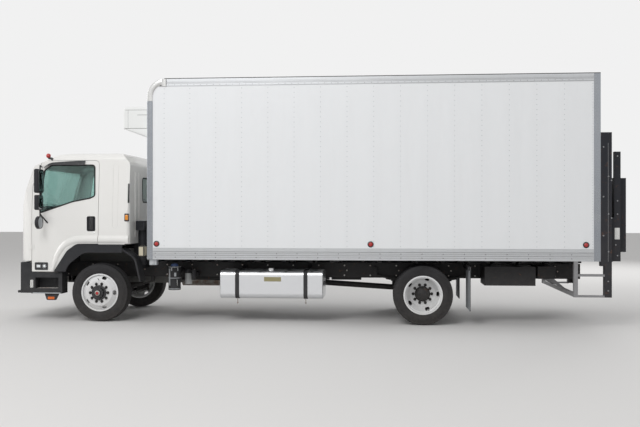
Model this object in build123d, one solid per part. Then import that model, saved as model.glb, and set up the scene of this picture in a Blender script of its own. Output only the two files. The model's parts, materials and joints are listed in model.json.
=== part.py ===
from build123d import *
from math import cos, radians, sin, tan
import os

# Medium duty refrigerated truck: tilting cab, ladder frame, insulated body, cooling unit and
# rail lift gate. Lengths are in millimetres. Stations run backwards from the front axle, heights
# run up from the ground and widths from the middle plane; left is towards -Y. The finished
# pieces are moved along by one value at the end, so that the origin is in the middle of the truck.

# Whole truck
wheelbase = 5080.0
front_overhang = 1420.0
rear_overhang = 3052.0

# Tyres and wheels
tyre_radius = 460.0
tyre_width = 255.0
bead_radius = 285.75
rim_width = 210.0
flange_height = 12.7
flange_width = 11.0
rim_wall = 9.0
disc_offset = 145.0
disc_wall = 11.0
disc_face_radius = 205.0
disc_bore = 110.0
hand_holes = 5
hand_hole_length = 74.0
hand_hole_width = 44.0
front_track = 2060.0
twin_plane = 925.0
drum_radius = 205.0
drum_wall = 12.0
bead_gap = 0.3
bearing_gap = 0.5

# Frame
frame_half_width = 425.0
frame_bottom = 665.0
frame_top = 905.0
rail_flange = 70.0
rail_wall = 8.0
frame_front = -1300.0
frame_rear_gap = 100.0
cross_member_width = 80.0
first_member = 1150.0
cross_member_bottom = 740.0
cross_member_top = 890.0
tow_eye_radius = 16.0
tow_plate_half = 26.0
tow_plate_wall = 20.0
tow_eye_reach = 40.0

# Steering and axles
kingpin_y = 890.0
kingpin_radius = 20.0
kingpin_gap = 0.4
kingpin_boss = 42.0
boss_half_height = 58.0
lug_gap = 7.0
lug_height = 35.0
beam_depth = 100.0
beam_half_width = 45.0
beam_drop = 80.0
spindle_radius = 38.0
steer_arm_back = 170.0
steer_arm_half = 22.0
tie_rod_radius = 18.0
tie_rod_drop = 36.0
stud_radius = 10.0
stud_gap = 1.5
rear_spindle_radius = 50.0
axle_tube_radius = 62.0
brake_pot_radius = 60.0
brake_pot_y = 580.0

# Springs
leaf_width = 70.0
leaf_wall = 14.0
spring_eye_radius = 25.0
damper_radius = 30.0

# Cab
cab_half_width = 1130.0
cab_front = -1315.0
cab_back = 470.0
cab_corner = 235.0
cab_wall = 45.0
cab_bottom_front = 960.0
cab_bottom_rear = 1228.0
cab_roof_height = 2690.0
door_front = -1115.0
door_rear = -34.0
door_bottom = 786.0
door_drop = 139.0
door_gap = 6.0
glass_wall = 6.0
glass_inset = 10.0
cab_floor_height = 1250.0
floor_wall = 27.0
flare_half_width = 1190.0
flare_depth = 150.0
lip_width = 62.0
lip_height = 9.0
bumper_bottom = 444.0
bumper_top = 930.0
bumper_end_width = 225.0
headlamp_width = 140.0
headlamp_height = 160.0
door_hinge_x = -1118.0
door_hinge_out = 6.0
door_hinge_height = 60.0
door_barrel = 8.0
door_pin = 4.5
door_lug = 6.2
step_lamp_x = -806.0
step_lamp_y = 1110.0
tilt_x = -1290.0
tilt_z = 940.0
tilt_pin = 12.0
tilt_ear_in = 405.0

# Insulated body
body_front = 808.0
body_overhang = 2620.0
body_half_width = 1295.0
body_bottom = 995.0
body_top = 3803.0
body_wall = 75.0
skin_step = 5.0
bottom_rail_height = 183.0
top_rail_height = 118.0
front_post_width = 91.0
front_top_radius = 275.0
rear_post_width = 130.0
rear_frame_depth = 98.0
door_panels = 8
body_floor_height = 1165.0
sill_width = 45.0
sill_pitch = 406.4

# Cooling unit
unit_depth = 504.0
unit_half_width = 925.0
unit_drop = 379.0
unit_height = 348.0
unit_pan_height = 176.0

# Fuel tank
tank_front = 1931.0
tank_rear = 3544.0
tank_out = 1180.0
tank_in = 560.0
tank_bottom = 390.0
tank_top = 820.0
tank_corner = 75.0
strap_width = 63.0
strap_wall = 6.0

# Lift gate
column_depth = 162.0
column_width = 100.0
column_top = 2919.0
platform_gap = 62.0
post_bottom = 926.0
leg_bottom = 459.0
channel_depth = 105.0
channel_wall = 10.0
runner_gap = 8.0
platform_thickness = 94.0
platform_bottom = 993.0
platform_tip = 2247.0
upright_top = 2638.0
upright_width = 64.0
upright_side_gap = 7.0
platform_side_gap = 24.0
fold_gap = 26.0
ramp_thickness = 88.0
ramp_low = 1127.0
ramp_inset = 40.0
fold_step = 5.0
fold_barrel = 11.0
fold_pin = 6.0
hinge_rod = 16.0
hinge_gap = 0.5

# Values worked out from the driving dimensions
length = front_overhang + wheelbase + rear_overhang
axle_height = tyre_radius
front_wheel_y = front_track / 2
flange_radius = bead_radius + flange_height
arm_plane = axle_height - boss_half_height - lug_gap - lug_height / 2
frame_inner = frame_half_width - rail_wall
door_hinge_y = cab_half_width + door_hinge_out
door_top = cab_roof_height - door_drop
body_rear = wheelbase + body_overhang
frame_rear = body_rear - frame_rear_gap
unit_top = body_top - unit_drop
unit_body_bottom = unit_top - unit_height
unit_pan_bottom = unit_body_bottom - unit_pan_height
platform_front = body_rear + column_depth + platform_gap
upright_out = body_half_width - column_width - upright_side_gap
upright_in = upright_out - upright_width
platform_half_width = upright_in - platform_side_gap
ramp_half_width = platform_half_width - ramp_inset


def outline(rows, inset=0.0):
    """Closed face whose corners are (u, v, radius); a radius of 0 leaves the corner sharp.

    An inset draws every side in by that distance, with the rounded corners kept concentric.
    """
    points = [Vector(row[0], row[1]) for row in rows]
    radii = [row[2] for row in rows]
    count = len(rows)
    area = sum(points[i - 1].X * points[i].Y - points[i].X * points[i - 1].Y for i in range(count))
    hand = 1 if area > 0 else -1
    corners = []
    for place in range(count):
        here = points[place]
        to_last = (points[place - 1] - here).normalized()
        to_next = (points[(place + 1) % count] - here).normalized()
        half = radians(to_last.get_angle(to_next)) / 2
        inward = (to_last + to_next).normalized()
        turn = to_next.X * to_last.Y - to_next.Y * to_last.X
        bulge = 1 if turn * hand > 0 else -1
        moved = here + inward * (bulge * inset / sin(half))
        size = radii[place] - bulge * inset if radii[place] > 0 else 0
        corners.append((moved, to_last, to_next, half, inward, max(size, 0)))
    ends = []
    for here, to_last, to_next, half, inward, size in corners:
        if size <= 0:
            ends.append((here, None, here))
            continue
        reach = size / tan(half)
        middle = here + inward * (size / sin(half) - size)
        ends.append((here + to_last * reach, middle, here + to_next * reach))
    edges = []
    for place, (start, middle, end) in enumerate(ends):
        if middle is not None:
            edges.append(Edge.make_three_point_arc(start, middle, end))
        following = ends[(place + 1) % count][0]
        if (following - end).length > 0.01:
            edges.append(Edge.make_line(end, following))
    return Face(Wire(edges))


def block(x0, x1, y0, y1, z0, z1):
    """Box between two corners."""
    middle = Pos((x0 + x1) / 2, (y0 + y1) / 2, (z0 + z1) / 2)
    return middle * Box(abs(x1 - x0), abs(y1 - y0), abs(z1 - z0))


def side_prism(face, y0, y1):
    """Face drawn as station and height, carried from y0 to y1."""
    plane = Plane(origin=(0, max(y0, y1), 0), x_dir=(1, 0, 0), z_dir=(0, -1, 0))
    return extrude(plane * face, amount=abs(y1 - y0), dir=(0, -1, 0))


def front_prism(face, x0, x1):
    """Face drawn as width and height, carried from x0 to x1."""
    plane = Plane(origin=(min(x0, x1), 0, 0), x_dir=(0, 1, 0), z_dir=(1, 0, 0))
    return extrude(plane * face, amount=abs(x1 - x0), dir=(1, 0, 0))


def plan_prism(face, z0, z1):
    """Face drawn as station and width, carried from z0 to z1."""
    return extrude(Pos(0, 0, min(z0, z1)) * face, amount=abs(z1 - z0), dir=(0, 0, 1))


def turned(rows):
    """Solid of revolution about the Y axis from corners (distance along Y, radius, fillet)."""
    plane = Plane(origin=(0, 0, 0), x_dir=(0, 1, 0), z_dir=(1, 0, 0))
    return revolve(plane * outline(rows), Axis.Y, 360)


def rod(start, end, radius):
    """Round bar between two points."""
    start = Vector(*start)
    run = Vector(*end) - start
    plane = Plane(origin=start, z_dir=run)
    return plane * Cylinder(radius, run.length, align=(Align.CENTER, Align.CENTER, Align.MIN))


def upright_rod(x, y, z0, z1, radius):
    """Round bar standing upright."""
    return rod((x, y, z0), (x, y, z1), radius)


def both_sides(piece):
    """A piece on the right and its mirror image on the left."""
    return piece + mirror(piece, about=Plane.XZ)


def left_of(piece):
    """Mirror image of a piece that was made for the right side."""
    return mirror(piece, about=Plane.XZ)


def pair_apart(piece):
    """The right piece and its mirror image as two solids of one node."""
    return Compound(children=[piece, mirror(piece, about=Plane.XZ)])


# Tyres and wheels, made for the right side with the axle along Y
def tyre(centre):
    half = tyre_width / 2
    seat = bead_radius + bead_gap
    toe = rim_width / 2 - 33
    heel = rim_width / 2
    over = flange_radius + 2
    # distance along the axle, radius, fillet
    rows = [
        (-toe, seat, 0),
        (-heel, seat, 0),
        (-heel, over, 0),
        (-half + 8, over + 14, 8),
        (-half, tyre_radius - 92, 60),
        (-half + 8, tyre_radius - 16, 12),
        (-half + 26, tyre_radius, 14),
        (half - 26, tyre_radius, 14),
        (half - 8, tyre_radius - 16, 12),
        (half, tyre_radius - 92, 60),
        (half - 8, over + 14, 8),
        (heel, over, 0),
        (heel, seat, 0),
        (toe, seat, 0),
        (toe + 4, seat + 16, 0),
        (half - 22, tyre_radius - 92, 0),
        (half - 34, tyre_radius - 26, 0),
        (-half + 34, tyre_radius - 26, 0),
        (-half + 22, tyre_radius - 92, 0),
        (-toe - 4, seat + 16, 0),
    ]
    return Pos(0, centre, 0) * turned(rows)


def rim(centre, outward):
    """Rim and dished disc; outward is 1 where the disc stands out and -1 where it is sunk."""
    half = rim_width / 2
    well = bead_radius - 24
    rows = [
        (-half - flange_width, flange_radius, 0),
        (-half, flange_radius, 0),
        (-half, bead_radius, 0),
        (-half + 45, bead_radius - 3, 0),
        (-half + 62, well, 0),
        (half - 62, well, 0),
        (half - 45, bead_radius - 3, 0),
        (half, bead_radius, 0),
        (half, flange_radius, 0),
        (half + flange_width, flange_radius, 0),
        (half + flange_width, bead_radius - rim_wall, 0),
        (half - 45, bead_radius - 3 - rim_wall, 0),
        (half - 62, well - rim_wall, 0),
        (-half + 62, well - rim_wall, 0),
        (-half + 45, bead_radius - 3 - rim_wall, 0),
        (-half - flange_width, bead_radius - rim_wall, 0),
    ]
    weld = outward * (half - 42)
    face = outward * disc_offset
    under = outward * (disc_offset - disc_wall)
    disc = [
        (under, disc_bore, 0),
        (face, disc_bore, 0),
        (face, disc_face_radius, 22),
        (weld + outward * 16, bead_radius - 8, 0),
        (weld, bead_radius - 8, 0),
        (under, disc_face_radius - 6, 0),
    ]
    wheel = turned(rows) + turned(disc)
    hole_radius = (disc_face_radius + bead_radius) / 2 - 8
    hole = Plane.XZ * SlotOverall(hand_hole_length, hand_hole_width)
    cutter = extrude(hole, amount=2 * disc_offset, both=True)
    for turn in range(hand_holes):
        wheel -= Rot(0, 360 * turn / hand_holes + 18, 0) * (Pos(0, 0, hole_radius) * cutter)
    return Pos(0, centre, 0) * wheel


def front_wheel():
    """Single wheel with its hub, cap and brake drum, one solid, made about its own axle."""
    inner = disc_offset - disc_wall
    # distance along the axle from the rim's middle plane, radius, fillet
    hub = [
        (-52, spindle_radius + bearing_gap, 0),
        (-52, 70, 0),
        (inner - 34, 70, 0),
        (inner - 34, drum_radius - drum_wall, 0),
        (-52, drum_radius - drum_wall, 0),
        (-52, drum_radius, 0),
        (inner, drum_radius, 0),
        (inner, disc_bore, 0),
        (disc_offset + 12, disc_bore, 0),
        (disc_offset + 14, 88, 0),
        (disc_offset + 62, 80, 0),
        (disc_offset + 66, 52, 0),
        (disc_offset + 82, 48, 0),
        (disc_offset + 84, 0, 0),
        (disc_offset + 60, 0, 0),
        (disc_offset + 60, spindle_radius + bearing_gap, 0),
    ]
    return rim(0, 1) + turned(hub)


def rear_wheels():
    """Twin wheels with their hub and drum, one solid, measured from their mounting plane."""
    drum_in = -disc_offset - 85
    hub = [
        (drum_in, rear_spindle_radius + bearing_gap, 0),
        (drum_in, 84, 0),
        (-disc_wall - 34, 84, 0),
        (-disc_wall - 34, drum_radius - drum_wall, 0),
        (drum_in, drum_radius - drum_wall, 0),
        (drum_in, drum_radius, 0),
        (-disc_wall, drum_radius, 0),
        (-disc_wall, disc_bore, 0),
        (disc_wall + 12, disc_bore, 0),
        (disc_wall + 14, 100, 0),
        (disc_wall + 52, 96, 0),
        (disc_wall + 56, 78, 0),
        (disc_wall + 74, 42, 0),
        (disc_wall + 76, 0, 0),
        (disc_wall + 22, 0, 0),
        (disc_wall + 22, rear_spindle_radius + bearing_gap, 0),
    ]
    return rim(disc_offset, -1) + rim(-disc_offset, 1) + turned(hub)


def wheel_nodes():
    wheel = Pos(0, front_wheel_y, axle_height) * front_wheel()
    twins = Pos(wheelbase, twin_plane, axle_height) * rear_wheels()
    single = Pos(0, 0, axle_height) * tyre(front_wheel_y)
    pair = [Pos(wheelbase, 0, axle_height) * tyre(twin_plane + side * disc_offset) for side in (1, -1)]
    return {
        "wheel_front_right": wheel,
        "wheel_front_left": left_of(wheel),
        "wheels_rear_right": twins,
        "wheels_rear_left": left_of(twins),
        "tyre_front_right": single,
        "tyre_front_left": left_of(single),
        "tyres_rear_right": Compound(children=pair),
        "tyres_rear_left": Compound(children=[left_of(one) for one in pair]),
    }


# Frame
def frame_rails():
    open_side = frame_half_width - rail_flange
    rail = block(frame_front, frame_rear, open_side, frame_half_width, frame_bottom, frame_top)
    low = frame_bottom + rail_wall
    rail -= block(frame_front - 1, frame_rear + 1, open_side - 1, frame_inner, low, frame_top - rail_wall)
    rails = both_sides(rail)
    eye_x = frame_front - tow_eye_reach
    eye_y = frame_inner - tow_plate_half
    eye_z = frame_bottom + 60
    plate = outline([
        (eye_x - tow_plate_half, frame_inner - 2 * tow_plate_half, 20),
        (eye_x - tow_plate_half, frame_inner, 20),
        (frame_front + 90, frame_inner, 0),
        (frame_front + 90, frame_inner - 2 * tow_plate_half, 0),
    ])
    tow = plan_prism(plate, eye_z - tow_plate_wall / 2, eye_z + tow_plate_wall / 2)
    tow -= upright_rod(eye_x, eye_y, eye_z - tow_plate_wall, eye_z + tow_plate_wall, tow_eye_radius)
    return rails + both_sides(tow) + cab_mounts()


def cross_members():
    """Closed tubes between the rails' webs, one at each station."""
    tubes = []
    rear_axle_members = (wheelbase - 680, wheelbase + 680, wheelbase + 1620, frame_rear - 100)
    for station in (frame_front + 100, first_member, 2300, 3600, *rear_axle_members):
        front = station - cross_member_width / 2
        rear = station + cross_member_width / 2
        tubes.append(block(front, rear, -frame_inner, frame_inner, cross_member_bottom, cross_member_top))
    return Compound(children=tubes)


def front_axle():
    """Dropped forged beam of I section, with a kingpin in a boss at each end."""
    top = axle_height + beam_depth / 2
    low = axle_height - beam_depth / 2
    end = kingpin_y - kingpin_boss + 12
    rows = [
        (-end, low, 0),
        (-760, low, 60),
        (-640, low - beam_drop, 60),
        (640, low - beam_drop, 60),
        (760, low, 60),
        (end, low, 0),
        (end, top, 0),
        (740, top, 60),
        (620, top - beam_drop, 60),
        (-620, top - beam_drop, 60),
        (-740, top, 60),
        (-end, top, 0),
    ]
    beam = front_prism(outline(rows), -beam_half_width, beam_half_width)
    pocket = outline(rows, 18)
    pocket_depth = beam_half_width - 9
    pockets = front_prism(pocket, -beam_half_width, -beam_half_width + pocket_depth)
    pockets += front_prism(pocket, beam_half_width - pocket_depth, beam_half_width)
    inner = frame_half_width - 90
    pockets -= both_sides(block(-80, 80, inner, frame_half_width + 20, 0, axle_height + 100))
    beam -= pockets
    boss_low = axle_height - boss_half_height
    boss = upright_rod(0, kingpin_y, boss_low, axle_height + boss_half_height, kingpin_boss)
    reach = boss_half_height + lug_gap + lug_height + 6
    pin = upright_rod(0, kingpin_y, axle_height - reach, axle_height + reach, kingpin_radius)
    return beam + both_sides(boss + pin)


def knuckle():
    """Right steering knuckle: yoke, spindle, brake backing plate, arm and ball stud."""
    gap = boss_half_height + lug_gap
    yoke = None
    for side in (1, -1):
        start = axle_height + side * gap
        lug = upright_rod(0, kingpin_y, start, start + side * lug_height, kingpin_boss + 3)
        lug += block(-40, 40, kingpin_y, kingpin_y + 62, start, start + side * lug_height)
        yoke = lug if yoke is None else yoke + lug
    plate_in = kingpin_y + 50
    plate_out = front_wheel_y - 66
    reach = gap + lug_height
    yoke += block(-62, 62, plate_in, plate_out, axle_height - reach, axle_height + reach)
    yoke += rod((0, plate_out - 4, axle_height), (0, plate_out + 6, axle_height), drum_radius - 20)
    spindle_end = front_wheel_y + disc_offset + 52
    yoke += rod((0, plate_out, axle_height), (0, spindle_end, axle_height), spindle_radius)
    low = arm_plane - 11
    high = arm_plane + 11
    arm = block(0, steer_arm_back, kingpin_y - steer_arm_half, kingpin_y + steer_arm_half, low, high)
    arm += upright_rod(steer_arm_back, kingpin_y, low, high, steer_arm_half + 2)
    arm += upright_rod(steer_arm_back, kingpin_y, arm_plane - tie_rod_drop - 26, arm_plane, stud_radius)
    yoke += arm
    bore = upright_rod(0, kingpin_y, 0, 2 * axle_height, kingpin_radius + kingpin_gap)
    return yoke - bore


def tie_rod():
    """Track rod behind the axle, with an eye round each ball stud."""
    height = arm_plane - tie_rod_drop
    reach = kingpin_y - 20
    bar = rod((steer_arm_back, -reach, height), (steer_arm_back, reach, height), tie_rod_radius)
    bar += both_sides(upright_rod(steer_arm_back, kingpin_y, height - 20, height + 19, 27))
    bore_radius = stud_radius + stud_gap
    return bar - both_sides(upright_rod(steer_arm_back, kingpin_y, height - 60, height + 60, bore_radius))


def rear_axle():
    """Axle tube with its differential, nose and brake backing plates."""
    plate = twin_plane - disc_offset - 85 - 12
    tube = rod((0, -plate, 0), (0, plate, 0), axle_tube_radius)
    spindle_end = twin_plane + disc_wall + 14
    tube += rod((0, -spindle_end, 0), (0, spindle_end, 0), rear_spindle_radius)
    tube += both_sides(rod((0, plate - 6, 0), (0, plate, 0), drum_radius - 16))
    bowl = [(-150, 0, 0), (-150, 60, 20), (-60, 190, 60), (60, 190, 60), (150, 60, 20), (150, 0, 0)]
    case = turned(bowl)
    nose = rod((-260, 0, 10), (-100, 0, 10), 92)
    pot = rod((130, brake_pot_y, 96), (205, brake_pot_y, 96), brake_pot_radius)
    pot += rod((205, brake_pot_y, 96), (290, brake_pot_y, 96), brake_pot_radius - 6)
    pot += block(40, 140, brake_pot_y - 14, brake_pot_y + 14, 20, 120)
    return Pos(wheelbase, 0, axle_height) * (tube + case + nose + both_sides(pot))


def leaf_pack(middle, y0, half_length, rise, top, leaves):
    """Leaf spring of concentric arcs; each leaf below the first is shorter."""
    radius = (half_length**2 + rise**2) / (2 * rise)
    pack = None
    for leaf in range(leaves):
        inner = radius + leaf * leaf_wall
        outer = inner + leaf_wall
        reach = half_length * (1 - leaf / (leaves + 1.5)) / radius

        def at(size, angle):
            return Vector(middle + size * sin(angle), top + radius - size * cos(angle))

        edges = [
            Edge.make_three_point_arc(at(inner, -reach), at(inner, 0), at(inner, reach)),
            Edge.make_line(at(inner, reach), at(outer, reach)),
            Edge.make_three_point_arc(at(outer, reach), at(outer, 0), at(outer, -reach)),
            Edge.make_line(at(outer, -reach), at(inner, -reach)),
        ]
        strip = side_prism(Face(Wire(edges)), y0, y0 + leaf_width)
        pack = strip if pack is None else pack + strip
    for side in (1, -1):
        eye_x = middle + side * half_length
        pack += rod((eye_x, y0, top + rise), (eye_x, y0 + leaf_width, top + rise), spring_eye_radius)
    return pack


def leaf_springs():
    inner = frame_half_width - leaf_width
    beam_top = axle_height + beam_depth / 2 - beam_drop
    front_leaves = 5
    front_top = beam_top + front_leaves * leaf_wall
    front_half = 640.0
    front_rise = 100.0
    front = leaf_pack(0, inner, front_half, front_rise, front_top, front_leaves)
    for side in (1, -1):
        eye = side * front_half
        front += block(eye - 22, eye + 22, inner, frame_half_width, front_top + front_rise, frame_bottom)
    front += block(-60, 60, inner, frame_half_width, front_top - 6, front_top + 16)
    damper_y = frame_half_width + damper_radius + 4
    damper = rod((-30, damper_y, beam_top + 40), (-150, damper_y, beam_top + 300), damper_radius)
    damper += rod((-24, damper_y, beam_top + 12), (-40, damper_y, beam_top + 60), damper_radius - 12)
    damper += block(-45, 10, inner + 10, damper_y + 16, beam_top, beam_top + 16)
    damper += block(-172, -128, frame_half_width, damper_y, beam_top + 265, beam_top + 315)
    rear_in = frame_half_width + 15
    seat_top = axle_height + axle_tube_radius + 26
    rear_leaves = 7
    rear_top = seat_top + rear_leaves * leaf_wall
    rear_half = 740.0
    rear_rise = 80.0
    rear = leaf_pack(wheelbase, rear_in, rear_half, rear_rise, rear_top, rear_leaves)
    for side in (1, -1):
        eye = wheelbase + side * rear_half
        hanger_top = frame_top - 60
        low = rear_top + rear_rise
        rear += block(eye - 26, eye + 26, frame_half_width, rear_in + leaf_width, low, hanger_top)
    seat_low = axle_height + axle_tube_radius - 4
    seat = block(wheelbase - 70, wheelbase + 70, rear_in, rear_in + leaf_width, seat_low, seat_top + 4)
    tube = rod((wheelbase, 0, axle_height), (wheelbase, twin_plane, axle_height), axle_tube_radius)
    rear += seat - tube
    low = rear_top - 6
    rear += block(wheelbase - 60, wheelbase + 60, rear_in, rear_in + leaf_width, low, rear_top + 16)
    return Compound(children=[front, left_of(front), rear, left_of(rear), damper, left_of(damper)])


# Drive line and air equipment
engine_rear = 420.0
gearbox_rear = 1050.0
intake_x = 568.0
intake_y = -720.0
line_x = 770.0
junction_height = 44.0
# station, distance from the middle, bottom, top, radius
AIR_CANS = ((1124, 830, 486, 860, 98), (1420, 760, 640, 800, 36), (1300, 620, 560, 800, 60))


def engine():
    body = block(-640, engine_rear, -300, 300, 560, 1130)
    body += block(engine_rear, gearbox_rear, -190, 190, 540, 860)
    member_front = first_member - cross_member_width / 2
    body += block(gearbox_rear, member_front, -120, 120, cross_member_bottom, 860)
    for station in (-480, 260):
        body += block(station - 50, station + 50, -frame_inner, frame_inner, 700, 742)
    return body


def driveshaft():
    """Two-piece shaft with a joint at each end and a bearing hung from a cross member."""
    nose = wheelbase - 260
    middle = 2920.0
    start_z = 625.0
    middle_z = 585.0
    end_z = axle_height + 10
    shaft = rod((gearbox_rear + 30, 0, start_z), (middle, 0, middle_z), 42)
    shaft += rod((middle, 0, middle_z), (nose - 30, 0, end_z), 46)
    shaft += block(gearbox_rear, gearbox_rear + 90, -46, 46, start_z - 46, start_z + 46)
    shaft += block(middle - 40, middle + 40, -62, 62, middle_z - 62, middle_z + 62)
    shaft += block(nose - 90, nose, -48, 48, end_z - 48, end_z + 48)
    shaft += block(middle - 18, middle + 18, -48, 48, middle_z, cross_member_top)
    low = cross_member_top - 50
    shaft += block(middle - 30, middle + 30, -frame_inner, frame_inner, low, cross_member_top)
    return shaft


def fuel_tank():
    face = outline([
        (-tank_out, tank_bottom, tank_corner),
        (-tank_in, tank_bottom, tank_corner),
        (-tank_in, tank_top, tank_corner),
        (-tank_out, tank_top, tank_corner),
    ])
    tank = front_prism(face, tank_front, tank_rear)
    ends = tank.faces().sort_by(Axis.X)
    tank = fillet(ends[0].edges() + ends[-1].edges(), 22)
    cap_x = (tank_front + tank_rear) / 2 - 12
    return tank + upright_rod(cap_x, -tank_out + 120, tank_top - 2, tank_top + 34, 46)


def tank_straps():
    """Two bands round the tank, each with its bracket on the frame rail."""
    bands = []
    corner = tank_corner + strap_wall

    def ring(grow, radius):
        return outline([
            (-tank_out - grow, tank_bottom - grow, radius),
            (-tank_in + grow, tank_bottom - grow, radius),
            (-tank_in + grow, tank_top + grow, radius),
            (-tank_out - grow, tank_top + grow, radius),
        ])

    for start in (tank_front + 243, tank_rear - 301):
        end = start + strap_width
        band = front_prism(ring(strap_wall, corner), start, end)
        band -= front_prism(ring(0, tank_corner), start, end)
        arm = outline([
            (-tank_in + strap_wall / 2, tank_bottom + 120, 0),
            (-frame_half_width, frame_bottom + 20, 0),
            (-frame_half_width, frame_top - 30, 0),
            (-tank_in + strap_wall / 2, tank_top - 90, 0),
        ])
        bands.append(band + front_prism(arm, start, end))
    return Compound(children=bands)


def air_equipment():
    """Air dryer and small canisters on brackets along the left rail."""
    pieces = []
    for station, out, low, top, radius in AIR_CANS:
        can = upright_rod(station, -out, low, top, radius)
        can += block(station - 30, station + 30, -out, -frame_half_width, top - 110, top - 40)
        pieces.append(can)
    for start in (3000.0, 3560.0):
        tank = rod((start, 620, 650), (start + 520, 620, 650), 105)
        for strap in (start + 90, start + 390):
            tank += block(strap, strap + 40, frame_half_width, 620, 700, 740)
        pieces.append(tank)
    return Compound(children=[*pieces, air_intake(), unit_lines(), overflow_tank()])


def air_intake():
    """Raised air inlet behind the cab with its duct to the engine."""
    duct = upright_rod(intake_x, intake_y, 875, 1500, 72)
    duct += block(intake_x - 66, intake_x + 66, intake_y - 170, intake_y + 80, 1440, 1590)
    for row in range(4):
        low = 1462 + 30 * row
        duct -= block(intake_x - 50, intake_x + 50, intake_y - 180, intake_y - 158, low, low + 16)
    duct += block(intake_x - 30, intake_x + 30, intake_y, -frame_half_width, 875, 900)
    route = [(intake_x, intake_y, 1020), (intake_x, -220, 1020), (engine_rear, -220, 1020)]
    path = FilletPolyline(*route, radius=100)
    return duct + sweep(Plane(origin=path @ 0, z_dir=path % 0) * Circle(46), path=path)


def unit_lines():
    """Two lines from the engine up the front wall to the cooling unit, clipped to the wall."""
    pieces = None
    line_top = unit_pan_bottom - junction_height
    for y in (-90.0, -30.0):
        path = FilletPolyline((engine_rear, y, 1000), (line_x, y, 1000), (line_x, y, line_top), radius=140)
        line = sweep(Plane(origin=path @ 0, z_dir=path % 0) * Circle(15), path=path)
        pieces = line if pieces is None else pieces + line
    for height in (1420.0, 1900.0, 2380.0):
        pieces += block(line_x - 8, body_front, -112, -8, height, height + 24)
    return pieces + block(line_x - 26, body_front, -140, 20, line_top, unit_pan_bottom)


def overflow_tank():
    """Small expansion tank behind the left wheel arch, on a bracket from the frame."""
    tank = fillet(block(600, 700, -1090, -930, 1033, 1190).edges(), 12)
    tank += upright_rod(650, -1000, 1180, 1206, 22)
    tank += block(660, 690, -1000, -950, 1005, 1040) + block(660, 690, -1000, -frame_half_width, 985, 1005)
    return tank + block(660, 690, -frame_half_width - 20, -frame_half_width, 800, 1005)


def exhaust():
    """Treatment canisters on the right with the outlet pipe."""
    start = 900.0
    end = 1850.0
    body = rod((start, 640, 560), (end, 640, 560), 135)
    body += rod((start + 60, 900, 600), (end - 60, 900, 600), 150)
    body += rod((start + 150, 640, 560), (start + 150, 900, 600), 60)
    body += rod((end - 160, 900, 600), (end - 160, 1120, 470), 52)
    for station in (start + 200, end - 240):
        body += block(station, station + 50, frame_half_width, 900, 690, 740)
    return body


def battery_box():
    box = block(2100, 2800, 470, 1080, 500, 850)
    box = fillet(box.edges().filter_by(Axis.X), 20)
    for station in (2180, 2660):
        box += block(station, station + 60, frame_half_width, 480, 700, 830)
    return box


def gate_power_unit():
    """Pump and battery case of the lift gate, on the left rail behind the rear axle."""
    start = wheelbase + 950
    end = start + 770
    case = block(start, end, -1000, -frame_half_width, 600, 890)
    case += block(end + 50, end + 320, -900, -frame_half_width, 700, 890)
    case += block(end - 10, end + 60, -800, -frame_half_width, 740, 860)
    return case


def front_face(y):
    """Station of the bumper's outer face at a width; a parabola drawn back at the ends."""
    return -front_overhang + 128 * (y / cab_half_width) ** 4


def bumper_band(inner_gap, y0, y1, z0, z1):
    """Length of the bumper skin between two widths, cut from one curved band."""
    steps = 12
    widths = [y0 + (y1 - y0) * step / steps for step in range(steps + 1)]
    outer = [(front_face(y), y) for y in widths]
    spline = Edge.make_spline([Vector(*point) for point in outer])
    inner = Edge.make_spline([Vector(point[0] + inner_gap, point[1]) for point in outer])
    ends = [
        Edge.make_line(Vector(*outer[-1]), Vector(outer[-1][0] + inner_gap, outer[-1][1])),
        Edge.make_line(Vector(outer[0][0] + inner_gap, outer[0][1]), Vector(*outer[0])),
    ]
    return plan_prism(Face(Wire([spline, ends[0], inner, ends[1]])), z0, z1)


def bumper():
    """Middle of the bumper, with its mounting brackets to the frame."""
    half = cab_half_width - bumper_end_width
    skin = bumper_band(42, -half, half, bumper_bottom, bumper_top)
    for low in (552, 600, 648):
        skin -= block(-front_overhang - 5, -front_overhang + 200, -420, 420, low, low + 34)
    inner = frame_half_width - 60
    low = frame_bottom + 110
    bracket = block(frame_front - 85, frame_front, inner, frame_half_width, low, frame_top - 20)
    return skin + both_sides(bracket)


def bumper_ends():
    """Dark corner housings that hold the headlamps."""
    start = cab_half_width - bumper_end_width + 3
    nose = -front_overhang
    end = bumper_band(36, start, cab_half_width, bumper_bottom, bumper_top)
    end += block(nose + 144, nose + 170, start, cab_half_width, bumper_bottom, bumper_top)
    end += block(nose + 120, nose + 300, cab_half_width - 36, cab_half_width, bumper_bottom, bumper_top)
    end += block(nose + 60, nose + 300, start, cab_half_width - 30, bumper_bottom, bumper_bottom + 36)
    return pair_apart(end - headlamp_room())


def headlamp_room():
    """Space of the right headlamp in its housing."""
    low = bumper_bottom + 156
    out = cab_half_width - 55
    nose = -front_overhang
    return block(nose - 10, nose + 142, out - headlamp_width, out, low, low + headlamp_height)


def headlamps():
    low = bumper_bottom + 156
    out = cab_half_width - 55
    lamp = Pos(10, 0, 0) * bumper_band(20, out - headlamp_width, out, low, low + headlamp_height)
    return pair_apart(lamp & headlamp_room())


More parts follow.
